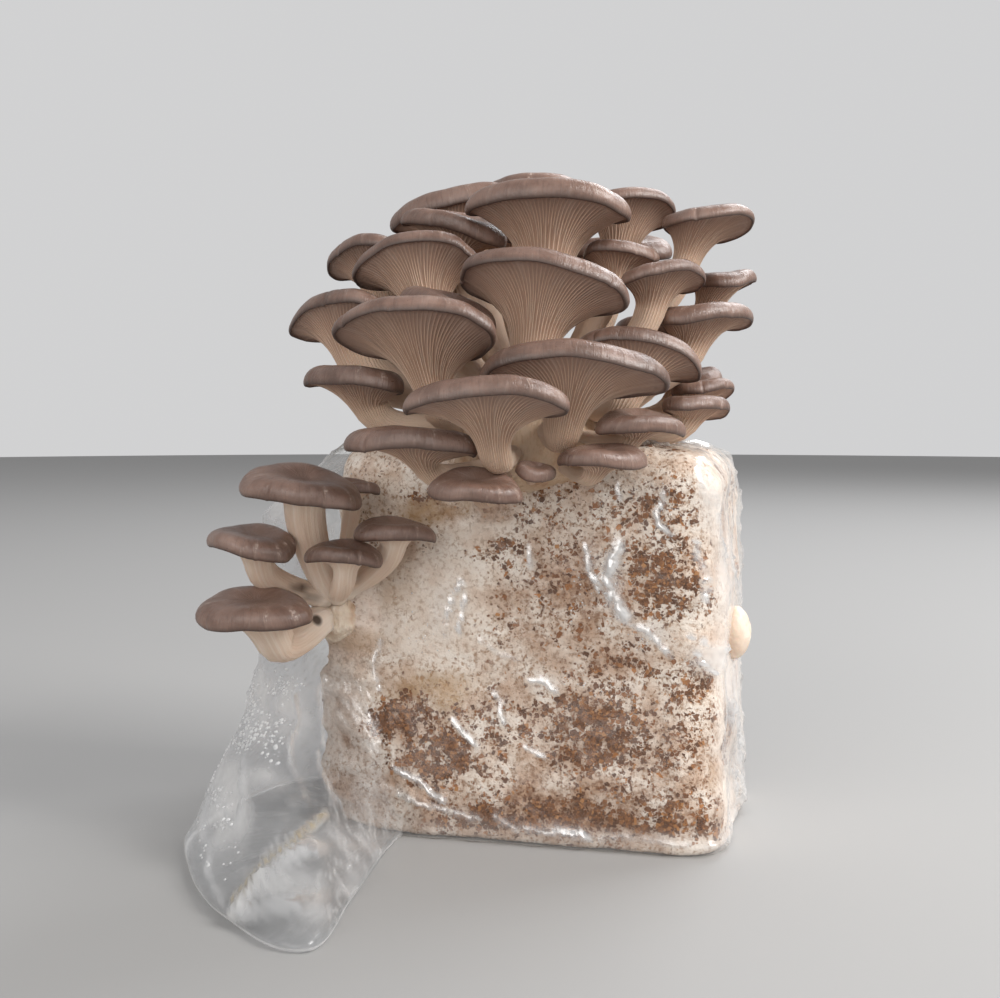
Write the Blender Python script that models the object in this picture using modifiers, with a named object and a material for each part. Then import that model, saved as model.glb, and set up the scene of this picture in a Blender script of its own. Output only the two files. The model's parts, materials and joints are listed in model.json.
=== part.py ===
"""Oyster mushroom grow kit: a colonised sawdust block in a clear bag, fruiting in two clusters.

The frame is in metres, +Z up.  The origin is the centre of the block's footprint on the flat
underside of the bag.  The block's wide front face looks along -Y, its right end along +X, and the
bag's loose tail hangs from the left end and lies forward on the surface that the block stands on.
Sizes below are in millimetres and degrees, and MM turns them into metres.
"""

import math

import bmesh
import bpy
from mathutils import Vector

MM = 0.001
UP = Vector((0.0, 0.0, 1.0))

# ---------------------------------------------------------------- the bag and its block
BAG_SIZE = Vector((200.0, 125.0, 198.0))
BAG_CORNER = 20.0
BAG_TOP_EDGE = 12.0
BAG_BOTTOM_EDGE = 4.0
ARC_STEPS = 3
FILM = 0.8
BLOCK_GAP = 0.7
BLOCK_CORNER = 22.0
BLOCK_CORNER_STEPS = 3

# The loose tail, as the bag's outline from the front round the left end: on the table, where the
# tail starts to spread, and at the top where it lies against the block.
TAIL_LOW = (
    (-56.0, -65.0),
    (-53.0, -108.0),
    (-46.0, -160.0),
    (-42.0, -217.0),
    (-91.0, -201.0),
    (-134.0, -150.0),
    (-158.0, -95.0),
    (-154.0, -5.0),
)
TAIL_HIGH = (
    (-70.0, -62.5),
    (-84.0, -62.5),
    (-94.0, -62.5),
    (-104.0, -62.0),
    (-124.0, -57.0),
    (-144.0, -42.0),
    (-150.0, -8.0),
    (-140.0, 36.0),
)
TAIL_TOP = (
    (-70.0, -62.5),
    (-80.0, -62.5),
    (-90.0, -60.0),
    (-97.0, -53.0),
    (-100.0, -43.0),
    (-100.0, -24.0),
    (-100.0, 0.0),
    (-100.0, 32.0),
)
TAIL_EDGE_HEIGHT = 5.0
TAIL_SPREAD_HEIGHT = 105.0
TAIL_SAG = 1.7
TAIL_SHOULDER_HEIGHT = 158.0
WALL_LEVELS = (5.0, 12.0, 26.0, 48.0, 76.0, 105.0, 158.0)

# ---------------------------------------------------------------- where the clusters break out
# centre, half-sizes towards -X -Y -Z, half-sizes towards +X +Y +Z
MAIN_BASE = ((2.0, -50.0, 188.0), (36.0, 28.0, 15.0), (38.0, 32.0, 40.0))
SIDE_BASE = ((-94.0, -65.0, 110.0), (13.0, 10.0, 17.0), (15.0, 10.0, 18.0))
END_PIN = ((101.0, 2.0, 97.0), (9.0, 11.0, 12.0), (10.0, 11.0, 13.0))
BASE_CLEARANCE = 0.5
OPENING_MARGIN = 1.06
STEM_GAP = 0.5

# ---------------------------------------------------------------- the mushrooms
CAP_SIDES = 12
# stem radius as a share of the cap's width, and how far the funnel leans towards the cluster's foot
MAIN_HABIT = (0.12, 1.1)
SIDE_HABIT = (0.16, 0.45)
ROOT_SHARE = 0.07
LEAST_ROOT_RADIUS = 2.6
STEM_SETBACK = 0.25
ROOT_LIFT = 18.0
ROOT_LIFT_OVER = 20.0
ROOT_HANDLE = 0.35
NECK_HANDLE = 0.3
FUNNEL_RISE = 0.55
CAP_LIP = 0.965
CAP_THICKNESS = 3.0
CAP_THICKNESS_SHARE = 0.125
CAP_SHOULDER = (0.88, 0.82)
CAP_EDGE_HEIGHT = 0.27
WAVE_SIDE = 0.03
WAVE_UP = 1.2

# name, centre of the rim (x, y, z), width, depth, facing, tilt, roll, funnel depth.
# Facing 0 looks to the front and +90 to the right.  Tilt lifts the facing edge, which shows the
# gills, and roll lowers the right-hand end as it is seen from the facing side.
MAIN_MUSHROOMS = (
    ("top_back", (-19, 48, 334), 57, 42, 170, 4, 0, 24),
    ("top_left_back", (-54, 9, 317), 78, 38, -15, 5, -10, 24),
    ("top_left", (-40, -34, 303), 57, 28, 0, -8, 14, 13),
    ("top_centre", (12, -43, 310), 83, 46, 12, 4, 3, 28),
    ("top_right_back", (41, 19, 316), 52, 40, 35, 16, 5, 24),
    ("top_right", (84, 7, 306), 45, 48, 70, 6, 8, 20),
    ("upper_left_back", (-90, -24, 289), 58, 38, -38, 14, -10, 20),
    ("upper_left", (-53, -57, 283), 66, 38, -5, 30, -9, 22),
    ("upper_right_inner", (44, -21, 289), 39, 25, 25, 6, 4, 12),
    ("upper_right", (67, -31, 275), 45, 35, 45, 11, 2, 14),
    ("far_right", (89, 45, 279), 44, 36, 95, 5, 0, 18),
    ("centre", (17, -83, 268), 81, 44, 15, 30, 10, 27),
    ("centre_tucked", (-28, -86, 258), 50, 26, -4, -6, 22, 11),
    ("left_back", (-96, -49, 256), 72, 38, -32, 22, -8, 20),
    ("left", (-37, -109, 245), 78, 48, 0, 30, 0, 28),
    ("right_back", (85, -7, 256), 56, 38, 50, 4, 0, 15),
    ("right", (59, -52, 236), 65, 34, 30, 18, 14, 16),
    ("front_right", (37, -103, 225), 87, 44, 18, 24, 2, 14),
    ("front", (6, -137, 213), 73, 36, 10, 12, 0, 21),
    ("lower_left_back", (-78, -80, 223), 64, 34, -28, 6, 3, 12),
    ("lower_right_back", (83, 0, 220), 36, 32, 70, 8, 6, 8),
    ("lower_right_outer", (84, -34, 211), 41, 28, 60, 8, 6, 5),
    ("lower_left", (-36, -116, 194), 64, 34, -2, 0, 2, 12),
    ("lowest_front", (-4, -119, 175), 43, 28, 10, -20, 5, 7),
    ("button_front", (19, -103, 183), 19, 14, 20, -22, 8, 5),
    ("lower_right_front", (49, -94, 188), 42, 24, 25, -10, 0, 7),
    ("lower_right", (64, -77, 203), 45, 26, 35, -11, 2, 6),
    ("back_top_left", (-76, 41, 290), 64, 46, -130, 6, 0, 22),
    ("back_top_middle", (-42, 63, 307), 46, 40, -165, 6, 0, 20),
    ("back_top_right", (23, 66, 299), 72, 48, 168, 8, 0, 24),
    ("back_left", (-93, 11, 255), 60, 44, -100, 5, 0, 20),
    ("back_middle_left", (-37, 64, 259), 70, 46, -160, 8, 0, 22),
    ("back_middle_right", (54, 70, 257), 62, 44, 155, 8, 0, 22),
    ("back_lower_left", (-68, 38, 228), 52, 34, -125, 4, 0, 12),
    ("back_lower_middle", (1, 56, 230), 54, 36, 180, 5, 0, 12),
    ("back_lower_right", (73, 32, 226), 48, 30, 125, 4, 0, 10),
)
SIDE_MUSHROOMS = (
    ("top", (-96, -103, 172), 60, 42, 5, -13, 10, 7),
    ("top_back", (-80, -75, 172), 26, 16, 20, -8, 4, 5),
    ("upper_left", (-121, -107, 146), 46, 34, -10, -9, 9, 11),
    ("middle", (-75, -101, 141), 38, 26, 10, -8, 4, 8),
    ("right", (-55, -84, 151), 40, 24, 20, -10, 4, 6),
    ("lowest", (-117, -111, 113), 60, 40, -5, -15, 1, 18),
)

# ---------------------------------------------------------------- colours
FILM_COLOR = (0.72, 0.70, 0.66)
SUBSTRATE_COLOR = (0.55, 0.42, 0.30)
BASE_COLOR = (0.72, 0.60, 0.48)
CAP_COLOR = (0.22, 0.16, 0.14)
PIN_COLOR = (0.76, 0.56, 0.42)


# ---------------------------------------------------------------- helpers
def principled(name, color, roughness):
    """A plain material in the colour of the part."""
    material = bpy.data.materials.new(name)
    material.use_nodes = True
    shader = material.node_tree.nodes["Principled BSDF"]
    shader.inputs["Base Color"].default_value = (*color, 1.0)
    shader.inputs["Roughness"].default_value = roughness
    shader.inputs["Metallic"].default_value = 0.0
    return material


def finish_object(bm, name, material, collection):
    """Turn a bmesh in millimetres into a named object in metres with its faces pointing out."""
    bmesh.ops.scale(bm, vec=(MM, MM, MM), verts=bm.verts)
    bmesh.ops.recalc_face_normals(bm, faces=bm.faces)
    mesh = bpy.data.meshes.new(name)
    bm.to_mesh(mesh)
    bm.free()
    mesh.materials.append(material)
    mesh.shade_smooth()
    mesh.set_sharp_from_angle(angle=math.radians(50.0))
    obj = bpy.data.objects.new(name, mesh)
    collection.objects.link(obj)
    return obj


def skin_rings(bm, rings):
    """Join closed rings of equal count with quads, and return their rows of vertices."""
    rows = [[bm.verts.new(point) for point in ring] for ring in rings]
    for lower, upper in zip(rows, rows[1:], strict=False):
        for i in range(len(lower)):
            j = (i + 1) % len(lower)
            bm.faces.new((lower[i], lower[j], upper[j], upper[i]))
    return rows


def cut(obj, cutter):
    """Take a cutter's shape out of an object."""
    modifier = obj.modifiers.new("cut_" + cutter.name, "BOOLEAN")
    modifier.operation = "DIFFERENCE"
    modifier.solver = "EXACT"
    modifier.object = cutter


def hide_cutter(obj):
    """Show a cutter as wire only."""
    obj.hide_render = True
    obj.display_type = "WIRE"


# ---------------------------------------------------------------- block and bag
def block_bmesh(grow):
    """The block's box, grown by a clearance on all sides, standing inside the bag."""
    size = BAG_SIZE - Vector((1.0, 1.0, 1.0)) * 2.0 * (FILM + BLOCK_GAP - grow)
    bm = bmesh.new()
    bmesh.ops.create_cube(bm, size=1.0)
    bmesh.ops.scale(bm, vec=size, verts=bm.verts)
    bmesh.ops.translate(bm, vec=(0.0, 0.0, BAG_SIZE.z / 2.0), verts=bm.verts)
    return bm


def round_block(obj, grow):
    """Round a block's edges."""
    bevel = obj.modifiers.new("rounded_edges", "BEVEL")
    bevel.width = (BLOCK_CORNER + grow) * MM
    bevel.segments = BLOCK_CORNER_STEPS
    bevel.limit_method = "ANGLE"


def corner_arc(centre, start):
    """Points round one corner of the bag, a quarter turn on from the start angle."""
    turns = [math.radians(start + 90.0 * i / ARC_STEPS) for i in range(ARC_STEPS + 1)]
    return [(centre[0] + BAG_CORNER * math.cos(t), centre[1] + BAG_CORNER * math.sin(t)) for t in turns]


def blend(start, end, share):
    """Points between two outlines of equal count."""
    return [
        (a[0] + (b[0] - a[0]) * share, a[1] + (b[1] - a[1]) * share)
        for a, b in zip(start, end, strict=True)
    ]


def tail_outline(level):
    """The tail's part of the outline at one height."""
    if level >= TAIL_SPREAD_HEIGHT:
        drop = (level - TAIL_SHOULDER_HEIGHT) / (BAG_SIZE.z - TAIL_SHOULDER_HEIGHT)
        return blend(TAIL_HIGH, TAIL_TOP, max(0.0, min(1.0, drop)))
    rise = (level - TAIL_EDGE_HEIGHT) / (TAIL_SPREAD_HEIGHT - TAIL_EDGE_HEIGHT)
    return blend(TAIL_HIGH, TAIL_LOW, (1.0 - max(0.0, rise)) ** TAIL_SAG)


def bag_outline(level):
    """The bag's outline at one height, clockwise seen from above, from its front-right corner."""
    right = BAG_SIZE.x / 2.0 - BAG_CORNER
    back = BAG_SIZE.y / 2.0 - BAG_CORNER
    return (
        corner_arc((right, -back), -90.0)[::-1]
        + tail_outline(level)
        + corner_arc((-right, back), 90.0)[::-1]
        + corner_arc((right, back), 0.0)[::-1]
    )


def inset(outline, amount):
    """An outline moved inwards by an even amount."""
    moved = []
    for i, point in enumerate(outline):
        before = Vector(outline[i - 1])
        after = Vector(outline[(i + 1) % len(outline)])
        here = Vector(point)
        along = ((here - before).normalized() + (after - here).normalized()).normalized()
        moved.append((here.x + along.y * amount, here.y - along.x * amount))
    return moved


def bag_rings():
    """The bag's outlines from the flat underside to the flat top, with both edges rounded."""
    rings = []
    for i in range(ARC_STEPS):
        turn = math.radians(90.0 * i / ARC_STEPS)
        level = BAG_BOTTOM_EDGE * (1.0 - math.cos(turn))
        step = BAG_BOTTOM_EDGE * (1.0 - math.sin(turn))
        rings.append([(*point, level) for point in inset(bag_outline(level), step)])
    for level in WALL_LEVELS:
        rings.append([(*point, level) for point in bag_outline(level)])
    for i in range(ARC_STEPS + 1):
        turn = math.radians(90.0 * i / ARC_STEPS)
        level = BAG_SIZE.z - BAG_TOP_EDGE * (1.0 - math.sin(turn))
        step = BAG_TOP_EDGE * (1.0 - math.cos(turn))
        rings.append([(*point, level) for point in inset(bag_outline(level), step)])
    return rings


def grow_bag(collection, cutters):
    """The clear bag: a thin film round the block, with its tail and an opening per cluster."""
    bm = bmesh.new()
    rows = skin_rings(bm, bag_rings())
    bm.faces.new(rows[0])
    bm.faces.new(rows[-1])
    obj = finish_object(bm, "grow_bag", principled("clear_film", FILM_COLOR, 0.25), collection)
    film = obj.modifiers.new("film", "SOLIDIFY")
    film.thickness = FILM * MM
    film.offset = -1.0
    for cutter in cutters:
        cut(obj, cutter)
    return obj


def substrate_block(collection):
    """The sawdust block, grown through with mycelium."""
    material = principled("colonised_sawdust", SUBSTRATE_COLOR, 0.9)
    obj = finish_object(block_bmesh(0.0), "substrate_block", material, collection)
    round_block(obj, 0.0)
    return obj


# ---------------------------------------------------------------- fused bases and the pin
def bulb_bmesh(bulb, scale):
    """A sphere primitive stretched unevenly along each half axis."""
    centre, low, high = bulb
    bm = bmesh.new()
    bmesh.ops.create_uvsphere(bm, u_segments=16, v_segments=10, radius=1.0)
    for vert in bm.verts:
        reach = [h if v > 0.0 else a for v, a, h in zip(vert.co, low, high, strict=True)]
        vert.co = Vector([c + v * r * scale for c, v, r in zip(centre, vert.co, reach, strict=True)])
    return bm


def opening_cutters(collection):
    """One wire bulb for each slit in the film, a little larger than what grows through it."""
    material = principled("cutter", (1.0, 0.0, 0.0), 0.5)
    cutters = []
    for name, bulb in (("main", MAIN_BASE), ("side", SIDE_BASE), ("end", END_PIN)):
        bm = bulb_bmesh(bulb, OPENING_MARGIN)
        obj = finish_object(bm, name + "_opening", material, collection)
        hide_cutter(obj)
        cutters.append(obj)
    return cutters


def block_cutter(collection):
    """The block with clearance, which gives each base its seat."""
    material = principled("seat_cutter", (1.0, 0.0, 0.0), 0.5)
    obj = finish_object(block_bmesh(BASE_CLEARANCE), "block_seat", material, collection)
    round_block(obj, BASE_CLEARANCE)
    hide_cutter(obj)
    return obj


def seated_bulb(name, bulb, material, collection, seat):
    """A fused base or a pin: a bulb with the block's shape taken out of it."""
    obj = finish_object(bulb_bmesh(bulb, 1.0), name, material, collection)
    cut(obj, seat)
    return obj


# ---------------------------------------------------------------- mushrooms
def bulb_surface(bulb, target):
    """Where the line from a bulb's centre to a target leaves the bulb, and the way out there."""
    centre = Vector(bulb[0])
    way = target - centre
    way = (way + UP * ROOT_LIFT * max(0.0, min(1.0, way.z / ROOT_LIFT_OVER))).normalized()
    reach = [h if v > 0.0 else a for v, a, h in zip(way, bulb[1], bulb[2], strict=True)]
    radius = 1.0 / math.sqrt(sum((v / r) ** 2 for v, r in zip(way, reach, strict=True)))
    out = Vector([v / r**2 for v, r in zip(way, reach, strict=True)]).normalized()
    return centre + way * radius + out * STEM_GAP, out


def cap_axes(facing, tilt, roll):
    """A cap's side, outward and normal directions."""
    turn, lift, lean = (math.radians(a) for a in (facing, tilt, roll))
    out_flat = Vector((math.sin(turn), -math.cos(turn), 0.0))
    side_flat = Vector((math.cos(turn), math.sin(turn), 0.0))
    outward = out_flat * math.cos(lift) + UP * math.sin(lift)
    normal = UP * math.cos(lift) - out_flat * math.sin(lift)
    side = side_flat * math.cos(lean) - normal * math.sin(lean)
    normal = normal * math.cos(lean) + side_flat * math.sin(lean)
    return side, outward, normal


def ring_axes(along, side):
    """Two directions across a stem, turned the same way as its cap."""
    first = (side - along * side.dot(along)).normalized()
    return first, first.cross(along)


def circle(centre, axes, radius, angles):
    """A ring of points across a stem."""
    return [centre + (axes[0] * math.cos(a) + axes[1] * math.sin(a)) * radius for a in angles]


def cap_point(spec, axes, angle, share, height):
    """A point on the cap at a share of the rim's radius and a height above the lip."""
    name, centre, width, depth = spec[:4]
    side, outward, normal = axes
    phase = len(name) + 0.1 * centre[0]
    wave = math.sin(3.0 * angle + phase)
    stretch = share * (1.0 + WAVE_SIDE * wave)
    flat = side * (math.cos(angle) * width / 2.0) + outward * (math.sin(angle) * depth / 2.0)
    lift = height + WAVE_UP * share * math.sin(2.0 * angle + phase)
    return Vector(centre) + flat * stretch + normal * lift


def mushroom_rings(spec, bulb, habit, angles):
    """A mushroom's rings from its root through stem, gills and lip to the cap's shoulder."""
    width, depth, facing, tilt, roll, funnel = spec[2:]
    stem_share, lean = habit
    axes = cap_axes(facing, tilt, roll)
    thick = CAP_THICKNESS + CAP_THICKNESS_SHARE * width
    home = (Vector(bulb[0]) - Vector(spec[1])).normalized()
    down = (home * lean - axes[2]).normalized()
    neck = Vector(spec[1]) - axes[1] * (STEM_SETBACK * depth / 2.0) + down * funnel
    root, out = bulb_surface(bulb, neck)
    length = (neck - root).length
    leave = root + out * (ROOT_HANDLE * length)
    reach = neck + down * (NECK_HANDLE * length)
    middle = (root + (leave + reach) * 3.0 + neck) / 8.0
    stem_radius = stem_share * width
    root_radius = max(LEAST_ROOT_RADIUS, ROOT_SHARE * width)
    stem = (
        (root, out, root_radius),
        (middle, (neck - root) + (reach - leave), (root_radius + stem_radius) * 0.5),
        (neck, -down, stem_radius),
    )
    rings = [circle(p, ring_axes(way.normalized(), axes[0]), r, angles) for p, way, r in stem]
    lip = [cap_point(spec, axes, a, CAP_LIP, 0.0) for a in angles]
    gills = []
    for low, high in zip(rings[-1], lip, strict=True):
        rise = -down * (FUNNEL_RISE * max(0.0, (low - high).dot(down)))
        gills.append(low * 0.25 + (low + rise) * 0.5 + high * 0.25)
    edge = [cap_point(spec, axes, a, 1.0, CAP_EDGE_HEIGHT * thick) for a in angles]
    shoulder = [cap_point(spec, axes, a, CAP_SHOULDER[0], CAP_SHOULDER[1] * thick) for a in angles]
    crown = Vector(spec[1]) - axes[1] * (STEM_SETBACK * depth / 4.0) + axes[2] * thick
    return rings + [gills, lip, edge, shoulder], crown


def mushroom(name, spec, bulb, habit, material, collection):
    """One mushroom: stem, gills and cap grown as one piece."""
    angles = [2.0 * math.pi * i / CAP_SIDES for i in range(CAP_SIDES)]
    rings, crown = mushroom_rings(spec, bulb, habit, angles)
    bm = bmesh.new()
    rows = skin_rings(bm, rings)
    bm.faces.new(rows[0])
    bmesh.ops.poke(bm, faces=[bm.faces.new(rows[-1])])
    bm.verts.ensure_lookup_table()
    bm.verts[-1].co = crown
    return finish_object(bm, name, material, collection)


# ---------------------------------------------------------------- assembly
def main():
    for obj in list(bpy.data.objects):
        bpy.data.objects.remove(obj, do_unlink=True)
    kit = bpy.data.collections.new("oyster_mushroom_grow_kit")
    tools = bpy.data.collections.new("cutters")
    for collection in (kit, tools):
        bpy.context.scene.collection.children.link(collection)

    substrate_block(kit)
    grow_bag(kit, opening_cutters(tools))
    seat = block_cutter(tools)
    base_material = principled("fused_base", BASE_COLOR, 0.7)
    seated_bulb("main_cluster_base", MAIN_BASE, base_material, kit, seat)
    seated_bulb("side_cluster_base", SIDE_BASE, base_material, kit, seat)
    pin_material = principled("young_pin", PIN_COLOR, 0.6)
    seated_bulb("right_end_pin", END_PIN, pin_material, kit, seat)

    cap_material = principled("mushroom_flesh", CAP_COLOR, 0.65)
    for prefix, bulb, habit, specs in (
        ("mushroom_", MAIN_BASE, MAIN_HABIT, MAIN_MUSHROOMS),
        ("side_mushroom_", SIDE_BASE, SIDE_HABIT, SIDE_MUSHROOMS),
    ):
        for spec in specs:
            mushroom(prefix + spec[0], spec, bulb, habit, cap_material, kit)


main()
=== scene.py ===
# %% [markdown]
# # An oyster mushroom grow kit
# A block of sawdust, grown through with white mycelium, stands in a clear bag.  Two clusters of
# brown oyster mushrooms have broken out of slits in the film.  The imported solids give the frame:
# their sizes and places are fixed, and the pieces made here take over from them.

# %% Load the frame
import json
import math
import random

import bpy
import numpy as np
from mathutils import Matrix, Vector, noise

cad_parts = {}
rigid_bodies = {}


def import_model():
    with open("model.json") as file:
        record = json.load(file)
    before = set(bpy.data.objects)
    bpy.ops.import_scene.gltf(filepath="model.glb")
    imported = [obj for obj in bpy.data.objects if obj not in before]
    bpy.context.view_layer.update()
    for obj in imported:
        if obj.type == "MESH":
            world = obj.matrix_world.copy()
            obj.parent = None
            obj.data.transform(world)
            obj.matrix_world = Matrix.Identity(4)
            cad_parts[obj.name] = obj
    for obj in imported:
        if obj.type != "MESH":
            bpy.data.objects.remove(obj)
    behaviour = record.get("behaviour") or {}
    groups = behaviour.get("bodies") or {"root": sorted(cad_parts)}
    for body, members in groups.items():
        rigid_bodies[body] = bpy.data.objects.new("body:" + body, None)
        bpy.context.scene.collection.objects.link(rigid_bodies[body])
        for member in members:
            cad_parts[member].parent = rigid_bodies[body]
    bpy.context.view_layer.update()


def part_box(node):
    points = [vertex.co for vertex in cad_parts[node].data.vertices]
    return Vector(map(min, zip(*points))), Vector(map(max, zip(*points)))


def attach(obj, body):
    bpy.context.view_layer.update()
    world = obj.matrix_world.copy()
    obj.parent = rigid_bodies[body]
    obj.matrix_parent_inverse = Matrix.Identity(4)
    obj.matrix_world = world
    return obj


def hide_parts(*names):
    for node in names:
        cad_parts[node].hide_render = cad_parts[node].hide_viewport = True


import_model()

MM = 0.001
BODY = "root"
UP = np.array((0.0, 0.0, 1.0))

# %% [markdown]
# ## Camera, floor and light
# The photograph was taken a little from the right, from just above the level of the block's top,
# with a normal lens. The floor is plain and pale.

# %% Camera
CAMERA_PLACE = (0.168247, -0.721023, 0.213)
CAMERA_TURN = math.radians(15.0)
CAMERA_DROP = math.radians(3.67)
LENS = 50.0
SENSOR = 36.0
PICTURE = (1000, 998)
bpy.ops.object.select_all(action="DESELECT")
bpy.ops.object.camera_add(location=CAMERA_PLACE)
camera = bpy.context.object
camera.rotation_euler = (math.pi / 2.0 - CAMERA_DROP, 0.0, CAMERA_TURN)
camera.data.lens = LENS
camera.data.sensor_width = SENSOR
camera.data.clip_start = 0.01
bpy.context.scene.camera = camera
bpy.context.scene.view_settings.view_transform = "Standard"


def picture_place(places):
    """Where the camera sees places (in mm): pixels from the picture's left and top edges."""
    right = np.array((math.cos(CAMERA_TURN), math.sin(CAMERA_TURN), 0.0))
    level = np.array((-math.sin(CAMERA_TURN), math.cos(CAMERA_TURN), 0.0))
    ahead = level * math.cos(CAMERA_DROP) - UP * math.sin(CAMERA_DROP)
    above = level * math.sin(CAMERA_DROP) + UP * math.cos(CAMERA_DROP)
    away = places - np.array(CAMERA_PLACE) / MM
    scale = PICTURE[0] * LENS / SENSOR / (away @ ahead)
    return PICTURE[0] / 2.0 + away @ right * scale, PICTURE[1] / 2.0 - away @ above * scale


print("the block's front right foot is seen at", picture_place(np.array((80.0, -62.5, 0.0))))


# %% Lights
KIT_CENTRE = (0.0, -0.03, 0.2)
for name, place, size, power, color in (
    ("window_right", (2.0, -0.35, 1.6), (1.2, 1.2), 60.0, (1.0, 0.985, 0.965)),
    ("window_back", (1.0, 2.1, 2.3), (2.0, 1.2), 58.0, (0.97, 0.98, 1.0)),
    ("fill_front", (-0.7, -2.6, 1.2), (2.6, 2.2), 31.0, (1.0, 0.97, 0.94)),
):
    bpy.ops.object.light_add(type="AREA", location=place)
    lamp = bpy.context.object
    lamp.name = name
    lamp.data.shape = "RECTANGLE"
    lamp.data.size, lamp.data.size_y = size
    lamp.data.energy = power
    lamp.data.color = color
    lamp.rotation_euler = (Vector(KIT_CENTRE) - Vector(place)).to_track_quat("-Z", "Y").to_euler()

world = bpy.data.worlds.new("pale_room")
bpy.context.scene.world = world
world.use_nodes = True
room = world.node_tree
room_light = room.nodes["Background"]
seen_room = room.nodes.new("ShaderNodeBackground")
for background, color, strength in (
    (room_light, (0.90, 0.90, 0.91, 1.0), 0.50), (seen_room, (0.64, 0.64, 0.645, 1.0), 1.0),
):
    background.inputs["Color"].default_value = color
    background.inputs["Strength"].default_value = strength
camera_rays = room.nodes.new("ShaderNodeLightPath").outputs["Is Camera Ray"]
room_mix = room.nodes.new("ShaderNodeMixShader")
for index, output in enumerate((camera_rays, room_light.outputs[0], seen_room.outputs[0])):
    room.links.new(output, room_mix.inputs[index])
room.links.new(room_mix.outputs[0], room.nodes["World Output"].inputs["Surface"])

# %% [markdown]
# ## Small helpers
# Materials are built from nodes.  Written out, each node takes several lines, so a small class
# adds them in one call, and sums and products of its values add maths nodes.  Attributes carry
# what a formula knows about a surface, such as how far a point is along a mushroom, into its
# material.


# %% Node helpers
class Value:
    """A node's output.  Sums, differences, products and powers of it add maths nodes."""

    def __init__(self, paint, socket):
        self.paint, self.socket = paint, socket

    def __add__(self, other):
        return self.paint.maths("ADD", self, other)

    def __sub__(self, other):
        return self.paint.maths("SUBTRACT", self, other)

    def __rsub__(self, other):
        return self.paint.maths("SUBTRACT", other, self)

    def __mul__(self, other):
        return self.paint.maths("MULTIPLY", self, other)

    def __pow__(self, other):
        return self.paint.maths("POWER", self, other)

    def twin(self, name):
        """Another output of the same node."""
        return Value(self.paint, self.socket.node.outputs[name])

    def fade(self, low, high):
        """0 below one value, 1 above another and smooth between."""
        limits = {"Value": self, "From Min": low, "From Max": high}
        return self.paint.node("MapRange", limits, interpolation_type="SMOOTHSTEP")

    def ramp(self, *stops):
        """A colour ramp, given as (place, colour or grey) stops."""
        color = self.paint.node("ValToRGB", {"Fac": self})
        elements = color.socket.node.color_ramp.elements
        while len(elements) < len(stops):
            elements.new(0.5)
        for element, (place, shade) in zip(elements, stops, strict=True):
            element.position = place
            element.color = (*(shade if isinstance(shade, tuple) else (shade,) * 3), 1.0)
        return color


class Paint:
    """A material under way, with the place on the piece in metres."""

    def __init__(self, name):
        self.material = bpy.data.materials.new(name)
        self.material.use_nodes = True
        self.tree = self.material.node_tree
        self.shader = self.tree.nodes["Principled BSDF"]
        self.place = self.node("TexCoord", output="Object")

    def put(self, socket, value):
        """Link a value to a socket, or set a constant on it."""
        if isinstance(value, Value):
            self.tree.links.new(value.socket, socket)
        elif isinstance(value, tuple) and len(socket.default_value) > len(value):
            socket.default_value = (*value, 1.0)
        else:
            socket.default_value = value

    def node(self, kind, inputs=None, output=0, **settings):
        """A shader node with its settings and inputs."""
        made = self.tree.nodes.new("ShaderNode" + kind)
        for key, value in settings.items():
            setattr(made, key, value)
        for key, value in (inputs or {}).items():
            self.put(made.inputs[key], value)
        return Value(self, made.outputs[output])

    def maths(self, operation, first, second=0.0, clamp=False):
        return self.node("Math", {0: first, 1: second}, operation=operation, use_clamp=clamp)

    def mix(self, factor, first, second, blend="MIX"):
        """A colour mix of two values or colours."""
        inputs = {0: factor, 6: first, 7: second}
        return self.node("Mix", inputs, output=2, data_type="RGBA", blend_type=blend)

    def attribute(self, name, output="Fac"):
        return self.node("Attribute", output=output, attribute_name=name)

    def grain(self, scale, detail=3.0, roughness=0.5, distortion=0.0, place=None):
        """Noise at a number of cells a metre."""
        return self.node("TexNoise", {
            "Vector": place or self.place, "Scale": scale, "Detail": detail,
            "Roughness": roughness, "Distortion": distortion,
        })

    def stretched(self, vector, scale):
        """A vector with each axis scaled."""
        return self.node("Mapping", {"Vector": vector, "Scale": scale}, vector_type="POINT")

    def shaken(self, scale, amount):
        """Places pushed about by noise, so that cells get ragged edges."""
        push = self.node("TexNoise", {"Vector": self.place, "Scale": scale, "Detail": 2.0}, "Color")
        inputs = {0: push, 1: (amount, amount, amount), 2: self.place}
        return self.node("VectorMath", inputs, operation="MULTIPLY_ADD")

    def bump(self, height, distance, strength=1.0):
        """A bump of a height in metres."""
        return self.node("Bump", {"Height": height, "Distance": distance, "Strength": strength})

    def finish(self, inputs):
        """Fill the shader's own inputs."""
        for key, value in inputs.items():
            self.put(self.shader.inputs[key], value)
        return self.material


print("node helpers ready")


# %% Mesh helpers
MERGE_DISTANCE = 0.000002


def unit(vectors):
    """Vectors of length one."""
    return vectors / np.maximum(np.linalg.norm(vectors, axis=-1, keepdims=True), 1e-12)


def smooth_step(low, high, value):
    """0 below one value, 1 above another and smooth between."""
    share = np.clip((value - low) / (high - low), 0.0, 1.0)
    return share * share * (3.0 - 2.0 * share)


def lumps(places, cell, seed, rise=1.0):
    """Smooth noise at each place, from -1 to 1.  rise below 1 draws the cells out upwards."""
    shift = Vector((seed * 17.3, seed * 5.1, seed * 9.7))
    places = places * np.array((1.0, 1.0, rise))
    return np.array([noise.noise(Vector(place) / cell + shift) for place in places])


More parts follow.
